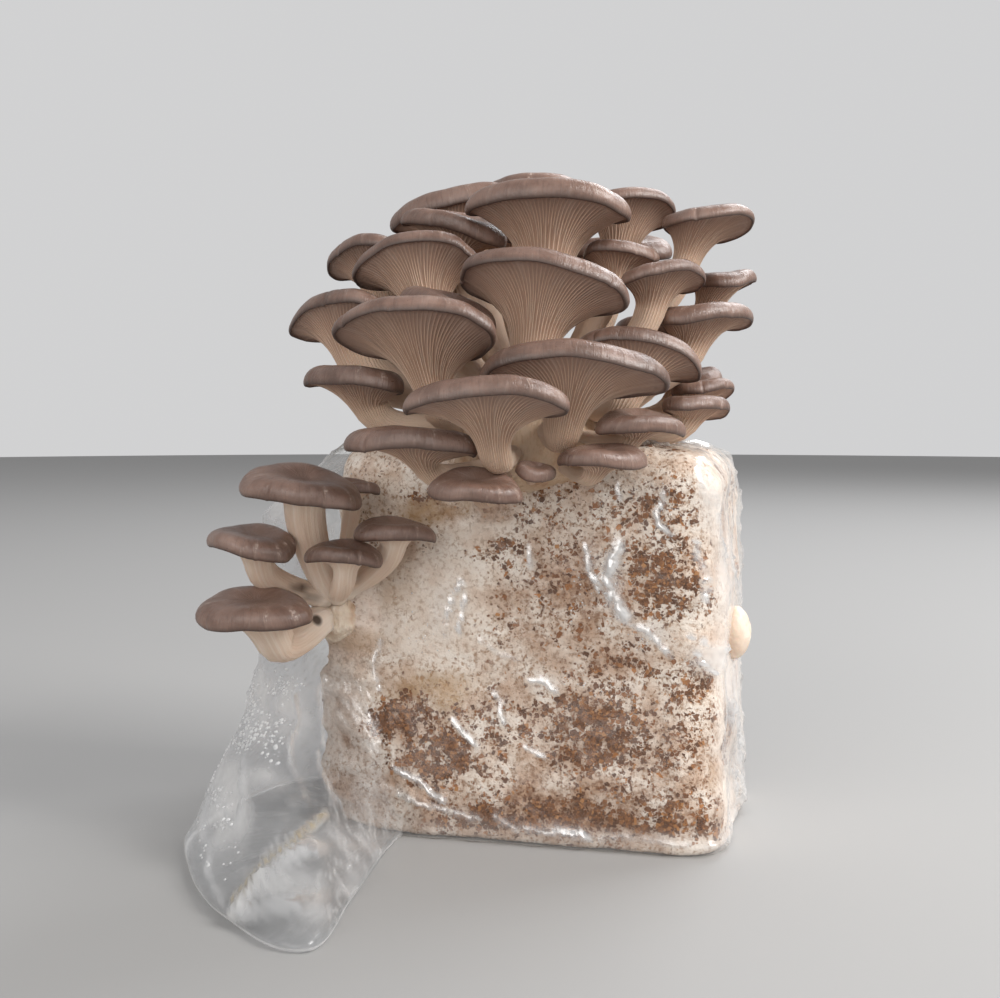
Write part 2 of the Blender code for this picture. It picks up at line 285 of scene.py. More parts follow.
def read_places(piece):
    """A mesh's vertices as an array."""
    places = np.empty(len(piece.data.vertices) * 3)
    piece.data.vertices.foreach_get("co", places)
    return places.reshape(-1, 3)


def write_places(piece, places):
    """Move a mesh's vertices."""
    piece.data.vertices.foreach_set("co", places.reshape(-1))
    piece.data.update()


def add_attribute(piece, name, values):
    """A number or a vector at each vertex, for the material to read."""
    kind, field = ("FLOAT", "value") if values.ndim == 1 else ("FLOAT_VECTOR", "vector")
    layer = piece.data.attributes.new(name, kind, "POINT")
    layer.data.foreach_set(field, np.ascontiguousarray(values, np.float32).reshape(-1))


def select_only(piece):
    """Make one piece the selected and active object."""
    bpy.ops.object.select_all(action="DESELECT")
    piece.select_set(True)
    bpy.context.view_layer.objects.active = piece


def in_edit_mode(piece, *steps):
    """Select a whole mesh and run edit mode operators on it."""
    select_only(piece)
    bpy.ops.object.mode_set(mode="EDIT")
    bpy.ops.mesh.select_all(action="SELECT")
    for step in steps:
        step()
    bpy.ops.object.mode_set(mode="OBJECT")


def close_seams():
    """Merge the seam and the poles of a rolled grid."""
    bpy.ops.mesh.remove_doubles(threshold=MERGE_DISTANCE)


def face_outwards():
    """Turn all faces outwards."""
    bpy.ops.mesh.normals_make_consistent(inside=False)


def rolled_grid(name, places, attributes):
    """A grid primitive rolled into a closed form.  places is rows by columns by 3, in metres."""
    rows, columns = places.shape[:2]
    bpy.ops.object.select_all(action="DESELECT")
    bpy.ops.mesh.primitive_grid_add(x_subdivisions=columns, y_subdivisions=rows - 1, size=1.0)
    piece = bpy.context.object
    piece.name = name
    piece.data.name = name
    share = read_places(piece)
    column = np.rint((share[:, 0] + 0.5) * columns).astype(int) % columns
    row = np.rint((share[:, 1] + 0.5) * (rows - 1)).astype(int)
    write_places(piece, places[row, column])
    for key, values in attributes.items():
        add_attribute(piece, key, values[row, column])
    in_edit_mode(piece, close_seams, face_outwards)
    return piece


def joined_copies(name, shape_faces, copies):
    """One mesh of many copies of a small shape, each with its own places in mm."""
    mesh = bpy.data.meshes.new(name)
    first = len(copies[0]) * np.arange(len(copies))[:, None, None]
    faces = (shape_faces[None] + first).reshape(-1, shape_faces.shape[1])
    mesh.from_pydata((np.concatenate(copies) * MM).tolist(), [], faces.tolist())
    piece = bpy.data.objects.new(name, mesh)
    bpy.context.scene.collection.objects.link(piece)
    return piece


def finish_piece(piece, material, slot, *nodes):
    """Material, smooth shading, the body it rides on and the nodes that it stands for."""
    piece.data.materials.clear()
    piece.data.materials.append(material)
    piece.data.shade_smooth()
    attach(piece, BODY)
    if nodes:
        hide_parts(*nodes)
    return piece


print("mesh helpers ready")

# %% [markdown]
# ## The floor
# It belongs to the stage and not to the object.

# %% Floor
FLOOR_RADIUS = 6.0
bpy.ops.object.select_all(action="DESELECT")
bpy.ops.mesh.primitive_circle_add(vertices=96, radius=FLOOR_RADIUS, fill_type="NGON")
floor = bpy.context.object
floor.name = "floor"
floor_look = {"Base Color": (0.38, 0.377, 0.373), "Roughness": 0.7}
floor.data.materials.append(Paint("pale_floor").finish(floor_look))
print("floor radius in metres:", FLOOR_RADIUS)

# %% [markdown]
# ## The block
# Sawdust pressed into a bag's shape, with soft corners.  Mycelium covers it in white webs and
# thick creamy patches, and brown sawdust shows through where the web is thin.  A flat grid is
# rolled round the block's outline, level by level, and lifted into lumps.  Where each kind of
# surface lies on the front follows a short list of patches, given by their places in the
# photograph, blurred and broken up by noise.  The hidden sides follow noise alone.  Along the
# foot the brown, dark and tan patches are partly the sawdust's own colour and partly painted
# shade under the block.

# %% Sizes repeated from the solids, in millimetres
BAG_SIZE = np.array((200.0, 125.0, 198.0))
BAG_CORNER = 20.0
FILM = 0.8
BLOCK_GAP = 0.7
BLOCK_CORNER = 22.0
# the visible slit at the side, and how far the block mounds up round it
SIDE_SLIT = ((-90.0, -63.0, 108.0), (20.0, 14.0, 21.0), (19.0, 14.0, 22.0))
MOUND_REACH = (21.0, 30.0, 23.0)
block_size = BAG_SIZE - 2.0 * (FILM + BLOCK_GAP)
block_half = block_size / 2.0
block_low, block_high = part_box("substrate_block")
print("block size in mm:", block_size, "solid:", [round(v / MM, 1) for v in block_high - block_low])

# %% Patches in the photograph: (x, y, half width, half height in pixels, strength)
BROWN_PATCHES = (
    (352, 600, 16, 10, 0.7), (382, 640, 22, 16, 0.35), (345, 668, 14, 10, 0.5),
    (668, 573, 42, 46, 1.0), (650, 508, 52, 24, 0.8), (675, 480, 22, 14, 0.7),
    (575, 590, 52, 60, 0.45), (610, 665, 62, 26, 0.6), (692, 682, 22, 22, 0.9),
    (598, 732, 50, 44, 1.05), (655, 750, 26, 26, 0.95), (690, 715, 30, 50, 0.7),
    (683, 802, 30, 18, 0.7), (545, 722, 30, 26, 0.9), (495, 728, 28, 44, 0.5),
    (398, 714, 32, 24, 1.0), (443, 752, 40, 28, 1.05), (450, 720, 18, 14, 0.9),
    (495, 551, 34, 9, 0.8), (500, 600, 24, 48, 0.42), (540, 520, 40, 26, 0.4),
    (600, 795, 60, 18, 0.4), (520, 790, 40, 20, 0.35), (430, 600, 50, 50, 0.16),
    # the patch at 580, 815 along the foot is partly brown sawdust and partly painted shade under
    # the block
    (560, 485, 50, 14, 0.4), (580, 815, 120, 17, 0.8),
)
# the patches along the foot, 815 to 838 pixels down, are partly dark sawdust and partly painted
# shade under the block
DARK_PATCHES = (
    (739, 563, 4, 9, 1.2), (712, 484, 4, 14, 0.5), (695, 826, 50, 9, 1.0), (729, 815, 9, 17, 0.9),
    (396, 722, 26, 15, 0.9), (443, 757, 34, 18, 0.75), (428, 498, 16, 9, 0.9),
    (468, 824, 50, 12, 0.6), (590, 735, 36, 26, 0.45), (672, 590, 30, 22, 0.35),
    (702, 676, 14, 12, 0.5), (600, 838, 40, 8, 0.5), (575, 815, 125, 19, 0.6),
)
TAN_PATCHES = (
    (578, 590, 48, 62, 0.85), (530, 610, 30, 56, 0.7), (590, 660, 50, 26, 0.6),
    (596, 798, 50, 28, 1.0), (540, 795, 40, 30, 0.9), (680, 770, 36, 40, 0.6),
    (470, 508, 46, 14, 0.9), (560, 482, 46, 12, 0.8), (500, 700, 30, 40, 0.45),
    (660, 800, 40, 26, 0.75), (450, 800, 60, 20, 0.7), (375, 790, 40, 22, 0.7),
    # the wide patch at 575, 812 along the foot is partly tan sawdust and partly painted shade under
    # the block
    (365, 660, 30, 30, 0.35), (575, 812, 130, 24, 1.0), (610, 735, 80, 46, 0.6),
    (425, 738, 56, 34, 0.5),
)
CREAM_PATCHES = (
    (742, 640, 22, 230, 1.2), (730, 480, 22, 34, 1.2), (440, 590, 46, 40, 0.7),
    (480, 530, 34, 12, 0.6), (350, 690, 24, 60, 0.8), (375, 620, 26, 34, 0.9),
    (420, 640, 50, 20, 0.7), (690, 640, 14, 16, 0.4), (726, 745, 10, 60, 1.1),
    (600, 830, 90, 5, 0.4), (560, 660, 26, 10, 0.3),
)
OCHRE_PATCHES = (
    (340, 598, 10, 8, 0.8), (360, 640, 24, 10, 0.5), (330, 690, 12, 26, 0.45),
    (390, 560, 16, 10, 0.5), (432, 686, 38, 15, 0.9), (448, 703, 16, 12, 0.9),
    (428, 510, 26, 12, 1.0), (360, 505, 30, 24, 0.35), (395, 590, 18, 20, 0.35),
    (458, 508, 14, 10, 0.6), (715, 772, 10, 14, 0.4), (738, 590, 4, 18, 0.6),
    (372, 572, 16, 12, 0.4),
)
# places where the mycelium stands out in thick folds
THICK_PATCHES = (
    (345, 710, 36, 80, 1.0), (390, 800, 60, 26, 0.9), (735, 640, 16, 220, 0.6),
    (350, 620, 30, 30, 0.7),
)
print("brown patches:", len(BROWN_PATCHES), "cream patches:", len(CREAM_PATCHES))


# %% Outlines and levels of a soft-cornered block
def quarter(centre, radius, start, steps):
    """A quarter turn clockwise, without its last point."""
    turn = np.radians(start - 90.0 * np.arange(steps) / steps)
    return np.array(centre) + radius * np.stack([np.cos(turn), np.sin(turn)], 1)


def straight(start, end, steps):
    """Points from one place towards another, without the last."""
    share = (np.arange(steps) / steps)[:, None]
    return np.array(start) + (np.array(end) - np.array(start)) * share


def soft_rectangle(half, corner, steps, left_side=None):
    """A rounded rectangle, clockwise from its front-right corner.

    steps counts points in a corner, the front, the left, the back and the right.  Other points
    may stand in for the front-left corner and the left side.
    """
    x, y = half - corner
    turn, front, left, back, right = steps
    if left_side is None:
        left_side = np.vstack([
            quarter((-x, -y), corner, -90.0, turn),
            straight((-x - corner, -y), (-x - corner, y), left),
        ])
    return np.vstack([
        quarter((x, -y), corner, 0.0, turn),
        straight((x, -y - corner), left_side[0], front),
        left_side,
        quarter((-x, y), corner, 180.0, turn),
        straight((-x, y + corner), (x, y + corner), back),
        quarter((x, y), corner, 90.0, turn),
        straight((x + corner, y), (x + corner, -y), right),
    ])


def inset(outline, amount):
    """An outline moved inwards."""
    along = unit(np.roll(outline, -1, axis=0) - np.roll(outline, 1, axis=0))
    return outline + np.stack([along[:, 1], -along[:, 0]], 1) * amount


def level_rows(outline_at, bottom, top, low_edge, high_edge, steps, low_middle=(0.0, 0.0)):
    """Rows from the middle of the underside, up the walls, to the middle of the top."""
    under, edge, wall, round_top, over = steps
    middle = np.array(low_middle)
    rim = inset(outline_at(bottom), low_edge)
    shares = np.linspace(0.0, 1.0, under + 1)[:-1]
    rings = [(middle + (rim - middle) * share, bottom) for share in shares]
    for turn in np.linspace(0.0, math.pi / 2.0, edge + 1)[:-1]:
        level = bottom + low_edge * (1.0 - math.cos(turn))
        rings.append((inset(outline_at(level), low_edge * (1.0 - math.sin(turn))), level))
    for level in np.linspace(bottom + low_edge, top - high_edge, wall):
        rings.append((outline_at(level), level))
    for turn in np.linspace(0.0, math.pi / 2.0, round_top + 1)[1:]:
        level = top - high_edge * (1.0 - math.sin(turn))
        rings.append((inset(outline_at(level), high_edge * (1.0 - math.cos(turn))), level))
    rim = rings[-1][0]
    rings += [(rim * share, top) for share in np.linspace(1.0, 0.0, over + 1)[1:]]
    return np.array([np.column_stack([ring, np.full(len(ring), level)]) for ring, level in rings])


def surface_normals(places):
    """The way out at each place of a rolled grid."""
    round_way = np.roll(places, -1, axis=1) - np.roll(places, 1, axis=1)
    return unit(np.cross(np.gradient(places, axis=0), round_way))


print("outline helpers ready")


# %% How the block and its film bulge, in mm
def bulge(places):
    """Slow lumps that the block and the film round it share, strongest on the right end."""
    x, z = places[:, 0], places[:, 2]
    right = smooth_step(84.0, 99.0, x)
    low = smooth_step(26.0, 6.0, z)
    high = smooth_step(160.0, 185.0, z)
    slow = (0.9 + 1.7 * right + 0.6 * low) * lumps(places, 34.0, 41, 0.8)
    return slow + (0.45 + 1.6 * right + 1.0 * low + 0.5 * high) * lumps(places, 15.0, 42, 0.7)


def settle(places):
    """The top sinks towards the right end and the foot spreads, as the photograph shows."""
    x, y, z = places.T
    sink = smooth_step(40.0, 100.0, x) * smooth_step(110.0, 198.0, z)
    spread = smooth_step(95.0, 4.0, z) * smooth_step(-95.0, -50.0, x)
    sideways = 0.03 * np.clip(x, 0.0, 100.0) * spread
    forwards = (0.15 * np.clip(y, -63.0, 0.0) + 0.05 * np.clip(y, 0.0, 63.0)) * spread
    shift = np.column_stack([sideways, forwards, np.zeros(len(x))])
    return places - sink[:, None] * np.array((2.0, 0.0, 6.0)) + shift


def patch_cover(x, y, patches):
    """How strongly a set of soft-edged patches covers each place of the picture."""
    cover = np.zeros_like(x)
    for centre_x, centre_y, half_x, half_y, strength in patches:
        away = ((x - centre_x) / half_x) ** 2 + ((y - centre_y) / half_y) ** 2
        cover = np.maximum(cover, strength * np.exp(-(away**1.6) * 0.75))
    return cover


def block_outline(level):
    return soft_rectangle(block_half[:2], BLOCK_CORNER, (13, 118, 30, 76, 34))


BLOCK_BOTTOM = 0.7
BLOCK_TOP = FILM + BLOCK_GAP + block_size[2]
BLOCK_EDGES = (2.5, 18.0)
BLOCK_ROWS = (8, 5, 112, 14, 22)
block_rows = level_rows(block_outline, BLOCK_BOTTOM, BLOCK_TOP, *BLOCK_EDGES, BLOCK_ROWS)
places = block_rows.reshape(-1, 3)
way_out = surface_normals(block_rows).reshape(-1, 3)
to_camera = unit(np.array((*CAMERA_PLACE[:2], 0.0)))
print("block rows, columns:", block_rows.shape[:2])

# %% What covers the block
broad = lumps(places, 24.0, 1)
middle = lumps(places, 8.0, 2)
fine = lumps(places, 3.2, 3)
seen_x, seen_y = picture_place(places)
ragged_x = seen_x + 9.0 * middle + 5.0 * fine
ragged_y = seen_y + 9.0 * lumps(places, 9.0, 4) + 5.0 * lumps(places, 3.4, 5)
in_front = smooth_step(-0.15, 0.25, way_out @ to_camera)
right_side = smooth_step(-52.0, -25.0, places[:, 1]) * smooth_step(0.5, 0.9, way_out[:, 0])
in_front = in_front * (1.0 - right_side)


def cover_of(patches, elsewhere):
    """The patches where the camera sees the surface, and noise on the hidden sides."""
    return in_front * patch_cover(ragged_x, ragged_y, patches) + (1.0 - in_front) * elsewhere


brown = cover_of(BROWN_PATCHES, smooth_step(-0.05, 0.4, broad + 0.35 * middle) * 0.9)
dark = cover_of(DARK_PATCHES, smooth_step(0.3, 0.6, lumps(places, 30.0, 6)) * 0.7)
tan = cover_of(TAN_PATCHES, smooth_step(-0.1, 0.5, lumps(places, 40.0, 9)) * 0.7)
cream = cover_of(CREAM_PATCHES, smooth_step(-0.05, 0.4, lumps(places, 34.0, 7)))
ochre = cover_of(OCHRE_PATCHES, smooth_step(0.35, 0.6, lumps(places, 22.0, 10)) * 0.6)
thick = cover_of(THICK_PATCHES, smooth_step(-0.25, 0.3, broad) * 0.75)
folds = 1.0 - 2.4 * np.abs(lumps(places, 10.0, 12, 0.75))
valleys = np.clip(-folds, 0.0, 1.0)
relief = 0.30 * middle + 0.30 * fine + 0.12 * lumps(places, 1.7, 8)
relief = relief + 0.35 * cream - 0.45 * dark - 0.2 * brown
relief = relief + thick * (1.9 * np.clip(folds, -0.6, 1.0) + 0.8 * fine)
tan = np.maximum(tan, thick * np.clip(1.2 * valleys, 0.0, 0.9))
brown = np.maximum(brown, thick * np.clip(0.9 * valleys - 0.2, 0.0, 0.5))
cream = cream * (1.0 - 0.6 * thick * valleys)
print("brown covers", round(float(brown.mean()) * 100.0), "percent")

# %% Block mesh
foot = smooth_step(9.0, 2.0, places[:, 2])
lift = bulge(places) * (1.0 - 0.4 * foot) + np.clip(relief, -1.8, 1.8) + 0.8 * foot
block_places = settle(places + way_out * lift[:, None])
# the left end slumps outwards, and the block mounds up round the side cluster's foot
slump = smooth_step(-72.0, -97.0, places[:, 0]) * smooth_step(45.0, -20.0, places[:, 1])
slump = slump * smooth_step(2.0, 20.0, places[:, 2]) * smooth_step(128.0, 70.0, places[:, 2])
slump = slump * (8.0 + 5.0 * lumps(places, 12.0, 13, 0.7) + 2.5 * np.clip(folds, -0.5, 1.0))
block_places = block_places + slump[:, None] * np.array((-1.0, -0.12, 0.0))
block_places[:, 2] = np.clip(block_places[:, 2], 0.4, None)
slit_way = (places - np.array(SIDE_SLIT[0])) / np.array(MOUND_REACH)
mound = smooth_step(1.0, 0.35, np.linalg.norm(slit_way, axis=1))
mound = mound * (5.5 + 2.5 * lumps(places, 7.0, 14) + 1.2 * fine)
block_places = block_places + way_out * mound[:, None]
covers = {"brown": brown, "dark": dark, "tan": tan, "cream": cream, "ochre": ochre}
covers = {key: values.reshape(block_rows.shape[:2]) for key, values in covers.items()}
block = rolled_grid("sawdust_block", block_places.reshape(block_rows.shape) * MM, covers)
print("block faces:", len(block.data.polygons), "lift up to", round(lift.max(), 1), "mm")

# %% [markdown]
# ## Mycelium and sawdust
# Close up, the block is white threads over brown chips two millimetres across.  One noise
# decides where the web opens, a cell pattern gives each chip its own brown, and the painted
# attributes shift the balance between them from patch to patch.


# %% Block material
def chip_cells(paint, place, scale, cover):
    """Sawdust chips as cells that show where their own chance number is below the cover."""
    inputs = {"Vector": place, "Scale": scale}
    cells = paint.node("TexVoronoi", inputs, "Color")
    rims = paint.node("TexVoronoi", inputs, "Distance", feature="DISTANCE_TO_EDGE")
    numbers = paint.node("SeparateColor", {"Color": cells}, "Red")
    shown = (cover - numbers).fade(-0.03, 0.05)
    return shown * rims.fade(0.03, 0.12), numbers.twin("Green")


def mycelium_material():
    paint = Paint("mycelium_on_sawdust")
    ragged = paint.shaken(520.0, 0.0022)
    brown, dark, tan, cream, ochre = (paint.attribute(name) for name in covers)
    clumps = paint.grain(215.0, 3.0, 0.6)
    cover = brown * 0.46 + dark * 0.22 - cream * 0.42
    cover = cover + (clumps - 0.5) * 3.6 * cover.fade(0.0, 0.3)
    big_mask, big_tone = chip_cells(paint, ragged, 370.0, cover)
    small_mask, small_tone = chip_cells(paint, ragged, 820.0, cover * 0.55 + 0.09)
    chip_color = big_tone.ramp(
        (0.0, (0.105, 0.036, 0.011)), (0.40, (0.195, 0.072, 0.023)), (0.70, (0.30, 0.120, 0.039)),
        (0.90, (0.42, 0.18, 0.060)), (1.0, (0.57, 0.24, 0.065)),
    )
    dot_color = small_tone.ramp(
        (0.0, (0.16, 0.068, 0.028)), (0.5, (0.31, 0.16, 0.08)), (0.85, (0.44, 0.28, 0.17)),
        (1.0, (0.52, 0.22, 0.07)),
    )
    milky = paint.grain(62.0, 5.0, 0.62)
    web = paint.grain(420.0, 4.0, 0.65, place=ragged)
    color = milky.ramp(
        (0.28, (0.58, 0.43, 0.34)), (0.40, (0.79, 0.66, 0.57)), (0.50, (0.93, 0.86, 0.80)),
        (0.62, (0.98, 0.95, 0.92)),
    )
    color = paint.mix(web.fade(0.53, 0.33), color, (0.47, 0.32, 0.22))
    color = paint.mix(cream * 0.62, color, (0.96, 0.91, 0.87))
    tan_shade = paint.mix(web.fade(0.35, 0.62), (0.25, 0.13, 0.072), (0.54, 0.36, 0.25))
    # tan patches: the sawdust's own colour, and along the foot partly painted shade under the block
    color = paint.mix(tan * milky.fade(0.72, 0.42), color, tan_shade)
    ochre_shade = paint.mix(clumps, (0.30, 0.15, 0.045), (0.62, 0.42, 0.20))
    color = paint.mix(ochre * 0.75, color, ochre_shade)
    color = paint.mix(small_mask * 0.8, color, dot_color)
    # dark patches darken the web and the chips: dark sawdust, and along the foot painted shade
    # under the block
    color = paint.mix(dark * 0.30, color, (0.21, 0.105, 0.050))
    chip_color = paint.mix(dark * 0.75, chip_color, (0.085, 0.034, 0.013))
    color = paint.mix(big_mask * 0.93, color, chip_color)
    height = web - big_mask * 0.30 - small_mask * 0.12 + paint.grain(1100.0) * 0.3
    return paint.finish({
        "Base Color": paint.mix(1.0, color, (1.0, 0.935, 0.88), "MULTIPLY"),
        "Roughness": web.ramp((0.3, 0.6), (0.7, 0.9)),
        "Normal": paint.bump(height, 0.0014, 0.8),
        "Specular IOR Level": 0.3,
    })


mycelium = mycelium_material()
finish_piece(block, mycelium, "colonised_sawdust", "substrate_block")
print("block material nodes:", len(mycelium.node_tree.nodes))

# %% [markdown]
# ## Loose sawdust chips
# Where the web is thin, single chips stand out of the surface.  One chip is a small cube with
# its corners pulled about, and thousands of copies are laid on the block's own brown patches and
# joined into one mesh.  Each copy keeps a tone of its own in an attribute.

# %% Sawdust chips
CHIP_COUNT = 9500
CHIP_LENGTH = (0.8, 2.2)
CHIP_CORNERS = np.array([(x, y, z) for x in (-0.5, 0.5) for y in (-0.5, 0.5) for z in (-0.5, 0.5)])
CHIP_FACES = np.array((
    (0, 1, 3, 2), (4, 6, 7, 5), (0, 4, 5, 1), (2, 3, 7, 6), (0, 2, 6, 4), (1, 5, 7, 3),
))
weights = np.clip(brown * 0.8 + dark * 1.2 - cream * 0.9 - 0.12, 0.0, None) ** 1.5
weights = weights * (0.05 + smooth_step(-0.05, 0.30, lumps(block_places, 5.5, 61)))
weights = weights * (block_places[:, 2] > 5.0) * (1.0 - 0.6 * (1.0 - in_front))
pick = np.random.default_rng(5)
chance = random.Random(11)
chip_places = []
chip_tones = []
for spot in pick.choice(len(block_places), CHIP_COUNT, p=weights / weights.sum()):
    length = chance.uniform(*CHIP_LENGTH)
    size = (length, length * chance.uniform(0.4, 0.9), length * chance.uniform(0.3, 0.5))
    out = way_out[spot]
    along = unit(np.cross(out, (chance.gauss(0, 1), chance.gauss(0, 1), chance.gauss(0, 1))))
    across = np.cross(out, along)
    pulled = 1.0 + np.array([chance.uniform(-0.28, 0.28) for _ in range(24)]).reshape(8, 3)
    shape = CHIP_CORNERS * pulled * np.array(size)
    jitter = along * chance.uniform(-1.2, 1.2) + across * chance.uniform(-1.2, 1.2)
    centre = block_places[spot] + jitter + out * chance.uniform(-0.32, 0.06)
    chip_places.append(centre + shape @ np.array((along, across, out)))
    chip_tones.append(np.full(8, chance.random()))
chips = joined_copies("sawdust_chips", CHIP_FACES, chip_places)
add_attribute(chips, "tone", np.concatenate(chip_tones))
in_edit_mode(chips, face_outwards)


def chip_material():
    paint = Paint("sawdust_chip_wood")
    color = paint.attribute("tone").ramp(
        (0.0, (0.100, 0.034, 0.010)), (0.45, (0.185, 0.068, 0.021)), (0.75, (0.29, 0.115, 0.037)),
        (0.92, (0.40, 0.17, 0.055)), (1.0, (0.53, 0.25, 0.09)),
    )
    fibres = paint.grain(1500.0, 2.0, place=paint.stretched(paint.place, (1.0, 1.0, 3.0)))
    return paint.finish({
        "Base Color": paint.mix(fibres.fade(0.45, 0.8) * 0.5, color, (0.48, 0.34, 0.24)),
        "Normal": paint.bump(fibres, 0.0004, 0.6),
        "Roughness": 0.8,
    })


finish_piece(chips, chip_material(), "colonised_sawdust")
chips.data.shade_flat()
print("chips:", CHIP_COUNT)

# %% [markdown]
# ## The clear bag
# Thin film clings to the block, crumples along a few folds, and opens into a loose tail that
# lies forward on the table at the left.  The film starts as a flat grid.  It is rolled round the
# same outlines as the solid bag, drawn here as smooth curves, and then creased: each fold is
# a line in the photograph with its own width and height.  Solidify gives it a thickness.

# %% The bag's outlines, as in the solid
TAIL_LOW = (
    (-56.0, -65.0), (-53.0, -108.0), (-46.0, -160.0), (-42.0, -217.0), (-91.0, -201.0),
    (-134.0, -150.0), (-158.0, -95.0), (-154.0, -5.0),
)
TAIL_HIGH = (
    (-70.0, -62.5), (-84.0, -62.5), (-94.0, -62.5), (-104.0, -62.0), (-124.0, -57.0),
    (-144.0, -42.0), (-150.0, -8.0), (-140.0, 36.0),
)
TAIL_TOP = (
    (-70.0, -62.5), (-80.0, -62.5), (-90.0, -60.0), (-97.0, -53.0), (-100.0, -43.0),
    (-100.0, -24.0), (-100.0, 0.0), (-100.0, 32.0),
)
TAIL_EDGE_HEIGHT = 5.0
TAIL_SPREAD_HEIGHT = 105.0
TAIL_SAG = 1.7
TAIL_SHOULDER_HEIGHT = 158.0
BAG_EDGES = (2.5, 16.0)
TAIL_STEPS = 18
FILM_STEPS = (10, 96, 0, 36, 26)
FILM_ROWS = (5, 4, 112, 9, 12)
UNDERSIDE_MIDDLE = (-62.0, -36.0)


def tail_outline(level):
    """The tail's part of the outline at one height."""
    low, high, top = (np.array(rows) for rows in (TAIL_LOW, TAIL_HIGH, TAIL_TOP))
    if level >= TAIL_SPREAD_HEIGHT:
        drop = (level - TAIL_SHOULDER_HEIGHT) / (BAG_SIZE[2] - TAIL_SHOULDER_HEIGHT)
        return high + (top - high) * float(np.clip(drop, 0.0, 1.0))
    rise = max(0.0, (level - TAIL_EDGE_HEIGHT) / (TAIL_SPREAD_HEIGHT - TAIL_EDGE_HEIGHT))
    return high + (low - high) * (1.0 - rise) ** TAIL_SAG


def smooth_curve(points, steps):
    """A smooth curve through points, without its last point."""
    ghost = np.vstack([2 * points[0] - points[1], points, 2 * points[-1] - points[-2]])
    parts = []
    for a, b, c, d in zip(ghost, ghost[1:], ghost[2:], ghost[3:], strict=False):
        t = (np.arange(steps) / steps)[:, None]
        bend = (2 * a - 5 * b + 4 * c - d) * t**2 + (3 * b - a - 3 * c + d) * t**3
        parts.append(0.5 * (2 * b + (c - a) * t + bend))
    return np.vstack(parts)


def bag_outline(level):
    """The bag's outline at one height, with the tail in place of its left side."""
    tail = np.vstack([tail_outline(level), (-BAG_SIZE[0] / 2.0, BAG_SIZE[1] / 2.0 - BAG_CORNER)])
    tail = smooth_curve(tail, TAIL_STEPS)
    return soft_rectangle(BAG_SIZE[:2] / 2.0, BAG_CORNER, FILM_STEPS, tail)


film_places = level_rows(bag_outline, 0.0, BAG_SIZE[2], *BAG_EDGES, FILM_ROWS, UNDERSIDE_MIDDLE)
grid_shape = film_places.shape[:2]
film_out = surface_normals(film_places).reshape(-1, 3)
film_places = film_places.reshape(-1, 3)
print("film rows and columns:", grid_shape)

# %% Folds over the block: half width and height in mm, milkiness (partly painted highlight), then x and y of its points
FRONT_FOLDS = (
    (1.1, 1.3, 0.75, 586, 545, 589, 562, 590, 572, 598, 588),
    (0.9, 0.7, 0.45, 593, 575, 607, 596, 618, 617, 635, 628),
    (2.7, 2.1, 1.0, 620, 544, 613, 560, 607, 577, 610, 592, 618, 604, 626, 618),
    (1.0, 1.0, 0.1, 338, 668, 346, 690, 352, 716, 358, 742),
    (0.9, 0.8, 0.1, 352, 676, 364, 698, 371, 722),
    (1.7, 1.3, 1.0, 638, 627, 652, 635, 662, 647, 669, 653),
    (1.3, 1.4, 0.75, 666, 487, 663, 501, 658, 510, 659, 520, 674, 530),
    (1.0, 1.0, 0.6, 617, 482, 620, 498),
    (1.4, 1.4, 0.7, 697, 536, 698, 551, 705, 563, 708, 578, 703, 598),
    (0.9, 1.8, 1.0, 689, 634, 694, 640, 696, 652, 703, 663, 714, 673),
    (0.9, 1.8, 1.0, 700, 634, 706, 646, 717, 652, 729, 648, 742, 640),
    (1.1, 1.2, 0.7, 541, 678, 548, 682, 556, 690), (1.2, 1.3, 0.8, 531, 682, 541, 679, 552, 688),
    (1.0, 1.1, 0.75, 527, 744, 536, 749, 546, 754),
    (1.3, 1.1, 0.45, 455, 718, 463, 728, 474, 738, 481, 747),
    (1.2, 1.1, 0.5, 494, 692, 501, 700, 502, 713, 505, 722),
    (0.9, 1.1, 0.8, 460, 580, 451, 601, 446, 616, 445, 636),
    (0.9, 1.1, 0.75, 462, 582, 466, 601, 461, 616, 458, 632),
    (1.0, 0.9, 0.5, 528, 544, 530, 556, 531, 569),
    (1.5, 2.4, 0.6, 398, 765, 422, 775, 439, 790, 449, 796),
    (1.5, 2.0, 0.25, 372, 776, 400, 788, 430, 800, 466, 810, 484, 816),
    (1.5, 2.0, 0.2, 500, 812, 521, 824, 560, 828, 590, 832),
    (1.2, 1.2, 0.5, 560, 825, 583, 826, 592, 833),
    (1.3, 2.0, 0.15, 600, 833, 639, 832, 677, 838, 707, 839, 730, 834),
    (1.6, 1.6, 0.5, 727, 700, 735, 743, 732, 772, 733, 800),
    (1.8, 1.6, 0.3, 716, 480, 722, 520, 728, 560, 738, 600),
    (1.5, 1.2, 0.3, 700, 455, 705, 470, 709, 492), (1.3, 1.0, 0.3, 380, 640, 372, 664, 380, 690),
    (1.2, 0.7, 0.15, 480, 640, 500, 655, 520, 660),
)
